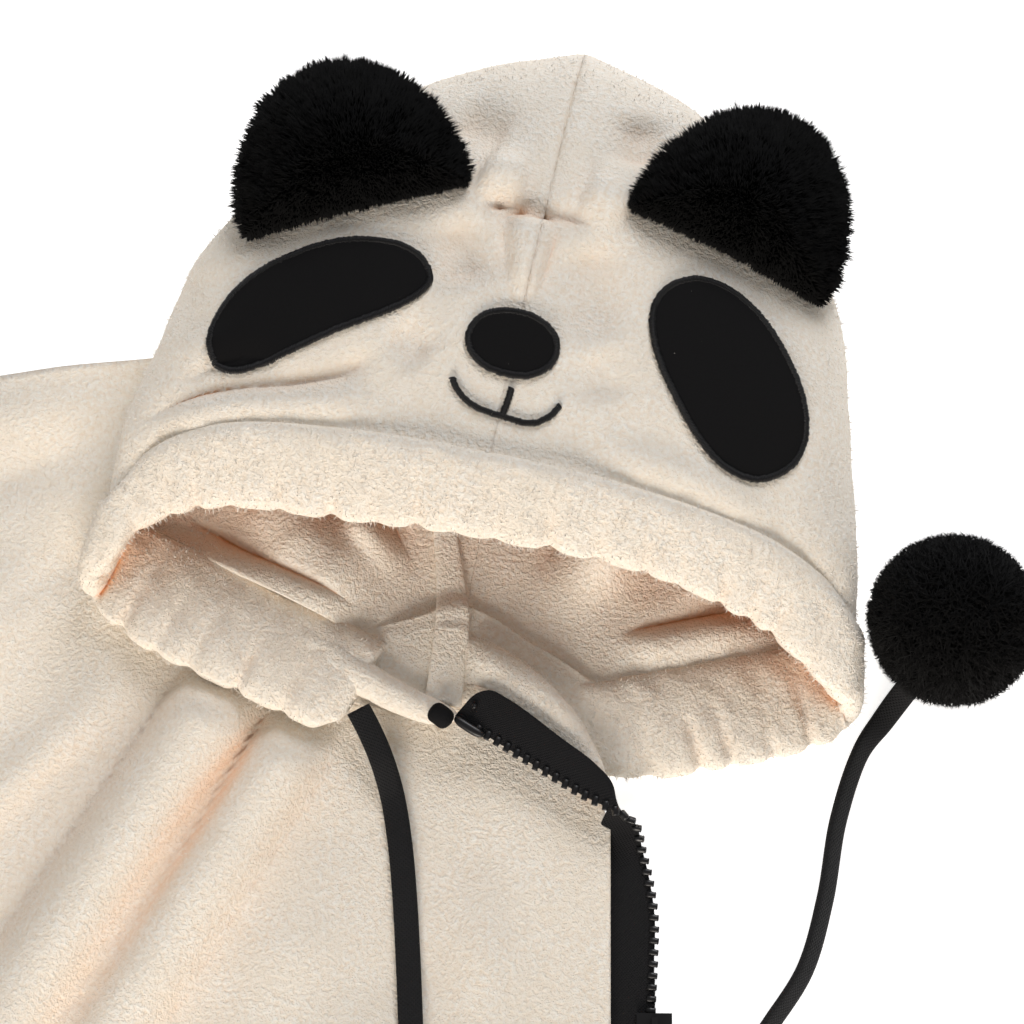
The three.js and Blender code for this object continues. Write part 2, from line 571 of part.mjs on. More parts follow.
// ---- draw cord ends with their pompoms ----
const capeTop = (x, y) => overHeight(x, y) + FLEECE;
const CORD_SEAT = CORD_THICK / 2 + 0.6;
const onCape = (x, y, lift = 0) => [x, y, capeTop(x, y) + CORD_SEAT + lift];
const CORD_RIGHT = [
  [-25, -56, 13.5], [-20, -62, 12.5], [-15, -69, 11], onCape(-9.5, -79), onCape(-4, -93),
  onCape(1, -109), onCape(6, -127), onCape(11, -146), onCape(17, -170), onCape(23, -196),
  onCape(28, -222), onCape(31, -242), onCape(32.4, -251, 2.6), onCape(33.3, -257.3, 7.1)];
const ON_FLOOR = CORD_THICK / 2 + 0.05;
const CORD_LEFT = [
  [46, -61, 1.5], [47.6, -66, 1.25], [48.5, -73, ON_FLOOR], [50, -88, ON_FLOOR], [54, -108, ON_FLOOR],
  [58, -128, ON_FLOOR], [63, -146, ON_FLOOR], [72, -160, ON_FLOOR], [86, -163, ON_FLOOR],
  [99, -153, ON_FLOOR], [109, -138, ON_FLOOR], [116, -122, ON_FLOOR], [123, -104, ON_FLOOR],
  [125, -82, ON_FLOOR], [124.5, -57, ON_FLOOR], [127.5, -35, ON_FLOOR], [132.2, -24.4, 1.9],
  [135.6, -17.2, 5], [137.9, -12.8, 8.6]];
const POMPOM_LEFT = [145.6, 5.6, POMPOM_RADIUS + 0.2];
const POMPOM_RIGHT = [34, -276, capeTop(34, -276) + POMPOM_RADIUS + 1.5];

const cordSection = new THREE.Shape(steps(SECTION_POINTS - 1).map((k) => {
  const t = k * SECTION_TURN;
  return new THREE.Vector2(
    bluntly(Math.cos(t), 0.7) * CORD_THICK / 2, bluntly(Math.sin(t), 0.7) * CORD_WIDTH / 2);
}));
for (const [name, route] of [['cord_right', CORD_RIGHT], ['cord_left', CORD_LEFT]]) {
  const path = curveOf(route);
  const count = Math.round(path.getLength() / (2.4 * CORD_WIDTH) * 1.3);
  const geometry = new THREE.ExtrudeGeometry(cordSection, { steps: count, extrudePath: path });
  addPiece(name, positionsOnly(geometry), INK);
}
for (const [name, middle] of [['pompom_right', POMPOM_RIGHT], ['pompom_left', POMPOM_LEFT]]) {
  const ball = positionsOnly(new THREE.IcosahedronGeometry(POMPOM_RADIUS, 4));
  addPiece(name, ball.translate(...middle), INK);
}

// ---- the origin is under the middle of the garment, without its cords ----
const ON_CORDS = ['cord_right', 'cord_left', 'pompom_right', 'pompom_left'];
const extent = new THREE.Box3();
group.updateMatrixWorld(true);
group.traverse((piece) => {
  if (piece.isMesh && !ON_CORDS.includes(piece.name)) extent.expandByObject(piece, true);
});
const middle = extent.getCenter(V(0, 0, 0));
group.position.set(-middle.x, -middle.y, -extent.min.z);

export default group;
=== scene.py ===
# %% [markdown]
# # A child's hooded cape with a panda face, laid face up
#
# The cape is sewn from brushed fleece. A hood with round plush ears and a stitched-on panda
# face lies on its back, and its gathered opening shows the inside. Below it the cape spreads
# out, folded in half, with a zip along its front edge and a pompom on each end of the cord
# that draws the opening together. Each step below makes one piece: first what it is on the
# real garment, then how it could be made, then why this way was chosen.

# %% Load the measured frame
import math

import bpy
import numpy as np
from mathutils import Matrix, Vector
from mathutils.bvhtree import BVHTree


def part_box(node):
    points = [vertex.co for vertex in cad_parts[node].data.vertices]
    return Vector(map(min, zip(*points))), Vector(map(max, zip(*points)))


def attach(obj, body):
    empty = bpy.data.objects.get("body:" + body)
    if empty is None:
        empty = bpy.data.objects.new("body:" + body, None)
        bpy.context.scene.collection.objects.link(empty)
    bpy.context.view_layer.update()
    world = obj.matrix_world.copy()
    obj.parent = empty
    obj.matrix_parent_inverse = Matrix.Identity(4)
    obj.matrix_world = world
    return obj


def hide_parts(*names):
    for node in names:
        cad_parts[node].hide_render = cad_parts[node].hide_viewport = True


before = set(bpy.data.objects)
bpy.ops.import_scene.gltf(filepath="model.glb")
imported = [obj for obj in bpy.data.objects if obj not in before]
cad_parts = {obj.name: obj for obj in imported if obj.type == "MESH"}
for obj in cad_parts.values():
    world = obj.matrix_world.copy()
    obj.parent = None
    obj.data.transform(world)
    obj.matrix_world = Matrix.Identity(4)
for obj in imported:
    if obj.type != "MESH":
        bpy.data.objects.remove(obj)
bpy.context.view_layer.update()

# %% [markdown]
# ## Millimetres and the hood's own origin
#
# A maker measures this garment from the base of the hood, in millimetres, so all shapes below
# are written that way: X to the wearer's left, Y towards the crown, Z up. Blender works in
# metres from the frame's origin. One function moves from the first to the second. The zip's
# slider is in both, so the frame itself says how far apart the two origins are.

# %% From the maker's millimetres to the frame's metres
MM = 0.001
SLIDER_AT = np.array([82.4, -133.0, 0.0])

slider_low, slider_high = (np.array(corner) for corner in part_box("zip_slider"))
HOOD_ORIGIN = ((slider_low + slider_high) / 2 / MM - SLIDER_AT) * [1, 1, 0]


def to_frame(points):
    return (np.asarray(points, float) + HOOD_ORIGIN) * MM


print("hood origin in the frame, mm:", HOOD_ORIGIN.round(2))

# %% [markdown]
# ## The camera
#
# The garment is seen from almost straight above, a little from the wearer's feet and turned a
# little, so the camera stands at 76 degrees of elevation and 12 degrees of azimuth. From one
# metre away a 112.5 mm lens takes in 320 mm, which is the hood and the top of the cape.

# %% Place the camera
CAMERA_AZIMUTH = math.radians(12)
CAMERA_ELEVATION = math.radians(76)
CAMERA_DISTANCE = 1000
CAMERA_AIM = np.array([7.15, 17.27, 0.0])
LENS = 112.5

camera_data = bpy.data.cameras.new("camera")
camera_data.lens = LENS
camera = bpy.data.objects.new("camera", camera_data)
bpy.context.scene.collection.objects.link(camera)
backwards = np.array([
    math.sin(CAMERA_AZIMUTH) * math.cos(CAMERA_ELEVATION),
    -math.cos(CAMERA_AZIMUTH) * math.cos(CAMERA_ELEVATION),
    math.sin(CAMERA_ELEVATION)])
camera.location = to_frame(CAMERA_AIM + CAMERA_DISTANCE * backwards)
camera.rotation_euler = Vector(backwards).to_track_quat("Z", "Y").to_euler()
bpy.context.scene.camera = camera
print("camera at", [round(c, 3) for c in camera.location])

# %% [markdown]
# ## Smooth routes through a few points
#
# Seams, cords and folds all follow a handful of listed places. A centripetal
# Catmull-Rom spline passes through every one of them without overshooting, and it is the same
# spline that the measured frame was drawn with, so the pieces land on their solids.

# %% A smooth route, and some small helpers
def mix(a, b, k):
    return a + (b - a) * k


def smooth(k):
    k = np.clip(k, 0, 1)
    return k * k * (3 - 2 * k)


def route(points):
    """A function from 0..1 to places on a smooth curve through the points."""
    knots = np.array([tuple(p) + (0.0,) * (3 - len(p)) for p in points], float)
    first = 2 * knots[0] - knots[1]
    last = 2 * knots[-1] - knots[-2]
    chain = np.vstack([first, knots, last])
    gaps = np.linalg.norm(np.diff(chain, axis=0), axis=1)[:, None] ** 0.5
    p0, p1, p2, p3 = chain[:-3], chain[1:-2], chain[2:-1], chain[3:]
    g0, g1, g2 = gaps[:-2], gaps[1:-1], gaps[2:]
    start = ((p1 - p0) / g0 - (p2 - p0) / (g0 + g1) + (p2 - p1) / g1) * g1
    end = ((p2 - p1) / g1 - (p3 - p1) / (g1 + g2) + (p3 - p2) / g2) * g1
    square = -3 * p1 + 3 * p2 - 2 * start - end
    cube = 2 * p1 - 2 * p2 + start + end

    def at(k):
        place = np.clip(np.asarray(k, float), 0, 1) * (len(knots) - 1)
        span = np.minimum(place.astype(int), len(knots) - 2)
        w = (place - span)[..., None]
        return p1[span] + w * (start[span] + w * (square[span] + w * cube[span]))

    return at


def even_steps(path, spacing):
    """Places along a route at an even spacing, with their directions."""
    fine = path(np.linspace(0, 1, 2000))
    run = np.concatenate([[0], np.cumsum(np.linalg.norm(np.diff(fine, axis=0), axis=1))])
    count = max(2, int(round(run[-1] / spacing)) + 1)
    share = np.interp(np.linspace(0, run[-1], count), run, np.linspace(0, 1, 2000))
    places = path(share)
    along = unit(path(share + 1e-3) - path(share - 1e-3))
    return places, along


def unit(vectors):
    length = np.linalg.norm(vectors, axis=-1, keepdims=True)
    return vectors / np.maximum(length, 1e-12)


# %% [markdown]
# ## Turning arrays into meshes
#
# Cloth here is a grid of points, and a fringe or a row of stitches is thousands of tiny
# copies of one shape. Both are quickest as arrays. A piece is added once, in one call, with
# its material and the body it rides on.

# %% Add a piece from arrays
def add_piece(name, points, faces, material, body="garment", uv=None, flat_last=0):
    """Adds a piece. The last flat_last faces are shaded flat, the others smooth."""
    mesh = bpy.data.meshes.new(name)
    faces = [np.asarray(f) for f in (faces if isinstance(faces, list) else [faces])]
    flat = np.concatenate([f.ravel() for f in faces])
    sizes = np.concatenate([np.full(len(f), f.shape[1]) for f in faces])
    mesh.vertices.add(len(points))
    mesh.vertices.foreach_set("co", to_frame(points).astype(np.float32).ravel())
    mesh.loops.add(len(flat))
    mesh.loops.foreach_set("vertex_index", flat.astype(np.int32))
    mesh.polygons.add(len(sizes))
    mesh.polygons.foreach_set("loop_start", (np.cumsum(sizes) - sizes).astype(np.int32))
    mesh.polygons.foreach_set("use_smooth", np.arange(len(sizes)) < len(sizes) - flat_last)
    if uv is not None:
        layer = mesh.uv_layers.new(name="lay")
        layer.data.foreach_set("uv", np.asarray(uv, np.float32)[flat].ravel())
    mesh.update(calc_edges=True)
    mesh.validate()
    mesh.materials.append(material)
    piece = bpy.data.objects.new(name, mesh)
    bpy.context.scene.collection.objects.link(piece)
    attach(piece, body)
    triangles = int((sizes - 2).sum())
    print(f"{name}: {len(points)} points, {triangles} triangles")
    return piece


def turned_out(points, faces):
    """The same faces, wound so that the closed form's faces point out."""
    a, b, c = (points[faces[:, i]] for i in (0, 1, 2))
    volume = np.einsum("ij,ij->", a, np.cross(b, c))
    if faces.shape[1] == 4:
        d = points[faces[:, 3]]
        volume += np.einsum("ij,ij->", a, np.cross(c, d))
    return faces if volume > 0 else faces[:, ::-1]


# %% [markdown]
# ## A shader helper and the finishes
#
# Each finish is named for the real stuff. Colours are written as hex values and turned to
# linear light by one function. One small function adds a node with its settings and links,
# so that each recipe below reads like a list.

# %% Shader helpers
def colour(hex_value):
    parts = [int(hex_value[i:i + 2], 16) / 255 for i in (1, 3, 5)]
    linear = [p / 12.92 if p <= 0.04045 else ((p + 0.055) / 1.055) ** 2.4 for p in parts]
    return (*linear, 1.0)


def node(tree, kind, links=None, **settings):
    """Adds a node. A key that is a socket sets the socket, and any other is a property."""
    new = tree.nodes.new(kind)
    for key, value in settings.items():
        label = key.replace("_", " ")
        if hasattr(new, key):
            setattr(new, key, value)
        else:
            new.inputs[label].default_value = value
    for socket, source in (links or {}).items():
        tree.links.new(source, new.inputs[socket])
    return new


def new_material(name):
    material = bpy.data.materials.new(name)
    material.use_nodes = True
    tree = material.node_tree
    tree.nodes.clear()
    shader = node(tree, "ShaderNodeBsdfPrincipled")
    node(tree, "ShaderNodeOutputMaterial", {"Surface": shader.outputs[0]})
    return material, tree, shader


def scaled_place(tree, millimetres):
    """Object coordinates in units of the given number of millimetres."""
    place = node(tree, "ShaderNodeTexCoord")
    scale = 1 / (millimetres * MM)
    return node(tree, "ShaderNodeMapping", {"Vector": place.outputs["Object"]},
                Scale=(scale, scale, scale)).outputs[0]


def noise(tree, millimetres, detail=2.0, distortion=0.0, roughness=0.5):
    """Noise whose largest lumps are about that many millimetres across."""
    return node(tree, "ShaderNodeTexNoise", {"Vector": scaled_place(tree, millimetres)},
                Scale=1.0, Detail=detail, Distortion=distortion,
                Roughness=roughness).outputs["Fac"]


def ramp(tree, source, stops):
    """A colour ramp from (position, colour or grey) stops."""
    new = node(tree, "ShaderNodeValToRGB", {"Fac": source})
    elements = new.color_ramp.elements
    while len(elements) < len(stops):
        elements.new(0.5)
    for element, (position, tint) in zip(elements, stops):
        element.position = position
        element.color = colour(tint) if isinstance(tint, str) else (tint, tint, tint, 1)
    return new.outputs["Color"]


# %% [markdown]
# ### Coral fleece
#
# Polyester velour with a raised, brushed pile. Its clumps are a little over a millimetre wide
# and lie in drifts a centimetre or two across, as a hand has stroked them.
# The open pile scatters light sideways: a lit slope is near white and a fold glows peach,
# because light that goes into a fold meets the cream fibres several times. Bump carries the
# pile and sheen the bright edge. The peach inside the folds is painted shade: ambient
# occlusion mixes the base colour towards peach where the cloth is closed in by its own folds.

# %% Coral fleece
# Painted shade: how far the ambient occlusion that turns the folds peach looks for cloth.
PAINTED_SHADE_REACH = 80


def brushed_fleece():
    material, tree, shader = new_material("brushed_coral_fleece")
    drift = noise(tree, 16.0, detail=1.0)
    clump = noise(tree, 1.3, detail=3.0, distortion=0.25, roughness=0.6)
    fibre = noise(tree, 0.6, detail=2.0, distortion=0.3)
    tone = node(tree, "ShaderNodeMixRGB", {"Fac": ramp(tree, clump, [(0.3, 0.0), (0.7, 1.0)])},
                Color1=colour("#f5e7d4"), Color2=colour("#fffcf4"))
    patchy = node(tree, "ShaderNodeMixRGB", {"Fac": ramp(tree, drift, [(0.35, 0.0), (0.7, 0.5)]),
                                             "Color1": tone.outputs[0]},
                  Color2=colour("#f9efdf"))
    # Painted shade: where ambient occlusion finds the cloth closed in by its own folds, the base colour
    # is mixed towards peach.
    hollow = node(tree, "ShaderNodeAmbientOcclusion", samples=4, only_local=True,
                  Distance=PAINTED_SHADE_REACH * MM)
    depth = ramp(tree, hollow.outputs["AO"], [(0.2, 1.0), (0.8, 0.0)])
    painted_shade_mix = node(tree, "ShaderNodeMixRGB", {"Fac": depth, "Color1": patchy.outputs[0]},
                Color2=colour("#f3ac6c"))
    tree.links.new(painted_shade_mix.outputs[0], shader.inputs["Base Color"])
    shader.inputs["Roughness"].default_value = 0.95
    shader.inputs["Specular IOR Level"].default_value = 0.1
    shader.inputs["Sheen Weight"].default_value = 0.3
    shader.inputs["Sheen Roughness"].default_value = 0.5
    shader.inputs["Sheen Tint"].default_value = colour("#fff4e6")
    pile = node(tree, "ShaderNodeBump", {"Height": clump}, Strength=0.85, Distance=0.001)
    fine = node(tree, "ShaderNodeBump", {"Height": fibre, "Normal": pile.outputs[0]},
                Strength=0.7, Distance=0.0004)
    tree.links.new(fine.outputs[0], shader.inputs["Normal"])
    return material


# %% [markdown]
# ### The black finishes
#
# Black plush, pompom yarn, appliqué twill, embroidery thread, braid and zip tape are all
# dyed polyester, but each catches light in its own way: plush only at its tips, twill as a
# flat dark grey with fine diagonals, thread and moulded plastic with small highlights.

# %% Black textiles and plastic
def dyed_black(name, base, tip, lump, bump, roughness, sheen=0.0, specular=0.2):
    """Dyed polyester: a noise of the given size in mm between two blacks, with its bump."""
    material, tree, shader = new_material(name)
    grain = noise(tree, lump, detail=3.0, roughness=0.6)
    tone = node(tree, "ShaderNodeMixRGB", {"Fac": grain}, Color1=colour(base), Color2=colour(tip))
    relief_bump = node(tree, "ShaderNodeBump", {"Height": grain}, Strength=0.6,
                       Distance=bump * MM)
    tree.links.new(tone.outputs[0], shader.inputs["Base Color"])
    tree.links.new(relief_bump.outputs[0], shader.inputs["Normal"])
    shader.inputs["Roughness"].default_value = roughness
    shader.inputs["Specular IOR Level"].default_value = specular
    shader.inputs["Sheen Weight"].default_value = sheen
    shader.inputs["Sheen Roughness"].default_value = 0.5
    return material


def woven_black(name, base, thread, pitch, slant, roughness):
    """A weave of crossed threads at the given pitch in mm, drawn along the piece's own UVs."""
    material, tree, shader = new_material(name)
    lay = node(tree, "ShaderNodeUVMap", uv_map="lay")
    turned = node(tree, "ShaderNodeMapping", {"Vector": lay.outputs[0]},
                  Rotation=(0, 0, math.radians(slant)))
    bands = [node(tree, "ShaderNodeTexWave", {"Vector": turned.outputs[0]}, Scale=0.314 / pitch,
                  bands_direction=way, Distortion=0.6) for way in ("X", "Y")]
    weave = node(tree, "ShaderNodeMath", {0: bands[0].outputs["Fac"], 1: bands[1].outputs["Fac"]},
                 operation="MAXIMUM")
    tone = node(tree, "ShaderNodeMixRGB", {"Fac": weave.outputs[0]}, Color1=colour(base),
                Color2=colour(thread))
    relief_bump = node(tree, "ShaderNodeBump", {"Height": weave.outputs[0]}, Strength=0.7,
                       Distance=0.00025)
    tree.links.new(tone.outputs[0], shader.inputs["Base Color"])
    tree.links.new(relief_bump.outputs[0], shader.inputs["Normal"])
    shader.inputs["Roughness"].default_value = roughness
    shader.inputs["Specular IOR Level"].default_value = 0.3
    return material


fleece = brushed_fleece()
fleece_fibre = dyed_black("loose_fleece_fibre", "#fff4e8", "#fffcf6", 3.0, 0.02, 0.95, sheen=0.3)
plush = dyed_black("black_plush_pile", "#010101", "#060606", 1.2, 0.3, 0.9, sheen=0.01)
yarn = dyed_black("black_pompom_yarn", "#010101", "#080809", 1.5, 0.4, 0.9, sheen=0.015)
applique_twill = dyed_black("black_applique_twill", "#090909", "#0f0e10", 0.7, 0.12, 0.9)
satin_thread = dyed_black("black_embroidery_thread", "#050506", "#101013", 0.5, 0.1, 0.5,
                          specular=0.4)
braid = woven_black("black_flat_braid", "#040405", "#101013", 0.9, 45, 0.7)
tape_weave = woven_black("black_zip_tape", "#050506", "#111114", 0.7, 45, 0.8)
plastic = dyed_black("black_moulded_acetal", "#0c0c0e", "#141417", 3.0, 0.05, 0.36,
                     specular=0.5)
braid_knob = dyed_black("black_folded_tape", "#050506", "#121215", 0.6, 0.25, 0.8)
print("finishes:", [m.name for m in bpy.data.materials])

# %% [markdown]
# ## The draw cord's two free ends
#
# A flat black braid, 7.5 mm wide and 2.2 mm thick, runs inside the hem of the opening. One
# end comes out at the right cheek and lies over the cape, the other comes out under the left
# front and lies on the floor. A curve with a bevel would twist where the route bends, so the
# flat section is swept by hand: level where it lies on the cape, and half on its edge where
# it bends round on the floor, as a flat braid does.

# %% Cape heights, which the cords lie on
FLEECE = 2.2
SEAM_GAP = 0.3
HOOD_WALL = 2.6
OVER_REST = FLEECE + SEAM_GAP
FRONT_LIFT_UNDER = 2.6
FRONT_LIFT_OVER = 7.5
FRONT_EDGE_X = 54
FRONT_EDGE_Y = -66
FRONT_EDGE_SLOPE = 0.2
REACH_OVER = 64
REACH_UNDER = 40
FOLD_FADE = 26

# Each fold: its name, the line it follows, then its width and height at the two ends.
FOLDS = [
    ("roll", (-63, -47), (-154, -300), (14, 21), (15, 9)),
    ("wedge", (-37, -54), (-98, -225), (12.5, 13), (12, 9)),
    ("shoulder", (-96, 14), (-250, -110), (14, 30), (3, 8)),
    ("panel", (4, -130), (10, -590), (30, 60), (2, 16)),
    ("side", (-150, -130), (-330, -420), (24, 52), (3, 18)),
    ("back", (-230, -20), (-520, -200), (24, 44), (3, 15)),
]


def fold_height(x, y, plump=1.0):
    """Height of the folds. A plump below 1 fills their shoulders out."""
    total = np.zeros(np.shape(x))
    for name, start, end, widths, heights in FOLDS:
        run = np.subtract(end, start)
        length = np.hypot(*run)
        along = ((x - start[0]) * run[0] + (y - start[1]) * run[1]) / length
        off = ((x - start[0]) * run[1] - (y - start[1]) * run[0]) / length
        k = np.clip(along / length, 0, 1)
        power = 1.4 * (plump if name in ("roll", "wedge") else 1.0)
        shape = np.clip(1 - (off / mix(*widths, k)) ** 2, 0, 1) ** power
        total = total + mix(*heights, k) * shape * smooth(along / FOLD_FADE)
    return total


def near_front(x, y, reach):
    edge_x = FRONT_EDGE_X + FRONT_EDGE_SLOPE * np.maximum(0, FRONT_EDGE_Y - y)
    return smooth((x - edge_x + reach) / (reach * 0.7))


def under_height(x, y):
    return FRONT_LIFT_UNDER * near_front(x, y, REACH_UNDER)


def over_height(x, y, plump=1.0):
    front = near_front(x, y, REACH_OVER)
    folds = fold_height(x, y, plump) * (1 - front)
    return OVER_REST + (FRONT_LIFT_OVER - OVER_REST) * front + folds


# %% The two cord ends
CORD_WIDTH = 7.5
CORD_THICK = 2.2
ON_FLOOR = CORD_THICK / 2 + 0.05


def on_cape(x, y, lift=0.0):
    return (x, y, float(over_height(x, y)) + FLEECE + CORD_THICK / 2 + 0.6 + lift)


CORD_RIGHT = [
    (-25, -56, 13.5), (-20, -62, 12.5), (-15, -69, 11), on_cape(-9.5, -79), on_cape(-4, -93),
    on_cape(1, -109), on_cape(6, -127), on_cape(11, -146), on_cape(17, -170),
    on_cape(23, -196), on_cape(28, -222), on_cape(31, -242), on_cape(32.4, -251, 2.6),
    on_cape(33.3, -257.3, 7.1)]
CORD_LEFT = [
    (46, -61, 1.5), (47.6, -66, 1.25), (48.5, -73, ON_FLOOR), (50, -88, ON_FLOOR),
    (54, -108, ON_FLOOR), (58, -128, ON_FLOOR), (63, -146, ON_FLOOR), (72, -160, ON_FLOOR),
    (86, -163, ON_FLOOR), (99, -153, ON_FLOOR), (109, -138, ON_FLOOR),
    (116, -122, ON_FLOOR), (123, -104, ON_FLOOR), (125, -82, ON_FLOOR),
    (124.5, -57, ON_FLOOR), (127.5, -35, ON_FLOOR), (132.2, -24.4, 1.9), (135.6, -17.2, 5),
    (137.9, -12.8, 8.6)]


def tube(rings):
    """Points and faces of a closed form from rings of points, with both ends capped."""
    count, size = rings.shape[:2]
    i, j = np.meshgrid(np.arange(count - 1), np.arange(size), indexing="ij")
    a = (i * size + j).ravel()
    b = (i * size + (j + 1) % size).ravel()
    sides = np.stack([a, b, b + size, a + size], axis=1)
    points = rings.reshape(-1, 3)
    middles = np.stack([rings[0].mean(0), rings[-1].mean(0)])
    points = np.vstack([points, middles])
    around = np.arange(size)
    after = (around + 1) % size
    low = np.stack([np.full(size, len(points) - 2), after, around], axis=1)
    last = (count - 1) * size
    high = np.stack([np.full(size, len(points) - 1), last + around, last + after], axis=1)
    if turned_out(points, sides) is not sides:
        sides, low, high = sides[:, ::-1], low[:, ::-1], high[:, ::-1]
    return points, [sides, np.vstack([low, high])]


def flat_braid(name, knots, on_edge):
    """The braid along its route. on_edge turns its broad side up by so many degrees."""
    path = route(knots)
    places, along = even_steps(path, 1.2)
    length = np.linalg.norm(np.diff(places, axis=0), axis=1)
    run = np.concatenate([[0], np.cumsum(length)])
    tilt = np.radians(on_edge) * smooth((run - 70) / 60) * smooth((run[-1] - run) / 30)
    level = unit(np.cross(np.array([0, 0, 1.0]), along))
    rise = np.cross(along, level)
    across = level * np.cos(tilt)[:, None] + rise * np.sin(tilt)[:, None]
    up = rise * np.cos(tilt)[:, None] - level * np.sin(tilt)[:, None]
    places = places + rise * ((CORD_WIDTH - CORD_THICK) / 2 * np.sin(tilt))[:, None]
    turn = np.linspace(0, 2 * np.pi, 24, endpoint=False)
    side = np.sign(np.cos(turn)) * np.abs(np.cos(turn)) ** 0.6 * CORD_WIDTH / 2
    thick = np.sign(np.sin(turn)) * np.abs(np.sin(turn)) ** 0.7 * CORD_THICK / 2
    rings = places[:, None] + across[:, None] * side[:, None] + up[:, None] * thick[:, None]
    points, faces = tube(rings)
    uv = np.stack(np.broadcast_arrays(run[:, None], side[None, :]), axis=-1).reshape(-1, 2)
    uv = np.vstack([uv, [0, 0], [run[-1], 0]])
    piece = add_piece(name, points, faces, braid, uv=uv)
    return piece, places, run[-1]


cord_right, cord_right_line, cord_right_length = flat_braid("cord_end_right", CORD_RIGHT, 0)
cord_left, cord_left_line, cord_left_length = flat_braid("cord_end_left", CORD_LEFT, 48)
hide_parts("cord_right")
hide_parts("cord_left")
print("cord ends, mm:", round(cord_right_length), round(cord_left_length))

# %% [markdown]
# ## Fibres
#
# Plush, yarn ends and the fuzz on a fleece edge are all short fibres that stand on a surface.
# Blender's hair would be the usual way, but it is lost when a model is exported, so each
# tuft is a slim closed spike: a triangle at its root and a point at its tip. Thousands of
# them are made in one array, each leaning a little its own way.

# %% Closed spikes in one array
def spikes(roots, tips, width):
    """A slim closed spike from each root to its tip, as points and faces."""
    along = unit(tips - roots)
    helper = np.where(np.abs(along[:, 2:3]) < 0.8, [[0, 0, 1.0]], [[1.0, 0, 0]])
    side = unit(np.cross(along, helper))
    other = np.cross(along, side)
    corners = []
    for turn in (0, 2 * np.pi / 3, 4 * np.pi / 3):
        reach = side * math.cos(turn) + other * math.sin(turn)
        corners.append(roots + reach * np.reshape(width, (-1, 1)) / 2)
    points = np.stack([*corners, tips], axis=1).reshape(-1, 3)
    one = np.array([[0, 1, 3], [1, 2, 3], [2, 0, 3], [0, 2, 1]])
    faces = (np.arange(len(roots))[:, None, None] * 4 + one[None]).reshape(-1, 3)
    return points, faces


def scatter(points, faces, count, rng, weight=None):
    """Places spread evenly over a mesh of triangles or quads, with the normals there."""
    tris = faces if faces.shape[1] == 3 else np.vstack([faces[:, [0, 1, 2]], faces[:, [0, 2, 3]]])
    a, b, c = (points[tris[:, i]] for i in (0, 1, 2))
    cross = np.cross(b - a, c - a)
    area = np.linalg.norm(cross, axis=1)
    if weight is not None:
        area = area * weight((a + b + c) / 3)
    pick = rng.choice(len(tris), count, p=area / area.sum())
    s, t = rng.random((2, count))
    s, t = np.where(s + t > 1, 1 - s, s), np.where(s + t > 1, 1 - t, t)
    places = a[pick] + (b - a)[pick] * s[:, None] + (c - a)[pick] * t[:, None]
    return places, unit(cross[pick])


def waves(points, seed, size):
    """A cheap smooth noise from -1 to 1 with lumps of about that size in mm."""
    rng = np.random.default_rng(seed)
    total = np.zeros(points.shape[:-1])
    for _ in range(6):
        direction = rng.normal(size=3)
        direction *= 2 * np.pi / size / np.linalg.norm(direction) * rng.uniform(0.6, 1.5)
        total += np.sin(points @ direction + rng.uniform(0, 2 * np.pi))
    return total / 6 ** 0.5 / 1.6


# %% [markdown]
# ## The pompoms
#
# Each is a ball of cut yarn tied round its middle. All the yarn ends stand out from the
# centre and are trimmed round, so the ball is dense with a soft, slightly uneven outline. A
# dark inner ball fills the middle, and the yarn ends are spikes on it.

# %% Two pompoms of cut yarn
POMPOM_RADIUS = 26.5
POMPOM_LEFT = np.array([145.6, 5.6, POMPOM_RADIUS + 0.2])
POMPOM_RIGHT = np.array([34, -276, float(over_height(34, -276)) + FLEECE + POMPOM_RADIUS + 1.5])
YARN_ENDS = 17000


def ball(radius, rings=32, sides=48):
    """Points and faces of a ball about the origin, from poles to equator."""
    lat = np.linspace(-np.pi / 2, np.pi / 2, rings)[1:-1]
    lon = np.linspace(0, 2 * np.pi, sides, endpoint=False)
    rows = np.stack([
        np.cos(lat)[:, None] * np.cos(lon), np.cos(lat)[:, None] * np.sin(lon),
        np.sin(lat)[:, None] + 0 * lon], axis=-1)
    return tube(rows * radius)


def pompom(name, middle, seed):
    rng = np.random.default_rng(seed)
    core, core_faces = ball(POMPOM_RADIUS * 0.86)
    way = unit(rng.normal(size=(YARN_ENDS, 3)))
    lean = unit(way + 0.16 * rng.normal(size=way.shape))
    uneven = 1 + 0.022 * waves(way * POMPOM_RADIUS, seed, 14)
    reach = POMPOM_RADIUS * uneven * rng.uniform(0.955, 1.02, YARN_ENDS)
    tips = lean * reach[:, None]
    roots = way * POMPOM_RADIUS * 0.82
    tuft, tuft_faces = spikes(roots, tips, rng.uniform(1.1, 1.9, YARN_ENDS))
    points = np.vstack([core, tuft]) + middle
    faces = [*core_faces, tuft_faces + len(core)]
    points[:, 2] = np.maximum(points[:, 2], 0.2)
    return add_piece(name, points, faces, yarn)


pompom_right = pompom("pompom_of_yarn_right", POMPOM_RIGHT, 11)
pompom_left = pompom("pompom_of_yarn_left", POMPOM_LEFT, 12)
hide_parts("pompom_right")
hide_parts("pompom_left")

# %% [markdown]
# ## Cloth as a thin closed shell
#
# A sewn panel is one surface with a thickness. The middle of the cloth is a grid of points;
# both faces stand half a thickness off it along the grid's own normals, and a narrow wall
# closes the border. Folds are pushed into the middle before the faces are made, so the cloth
# keeps its thickness in every crease.

# %% A closed shell about a grid, and creases along listed paths
def grid_normals(middle):
    run = np.gradient(middle, axis=0)
    across = np.gradient(middle, axis=1)
    return unit(np.cross(run, across))


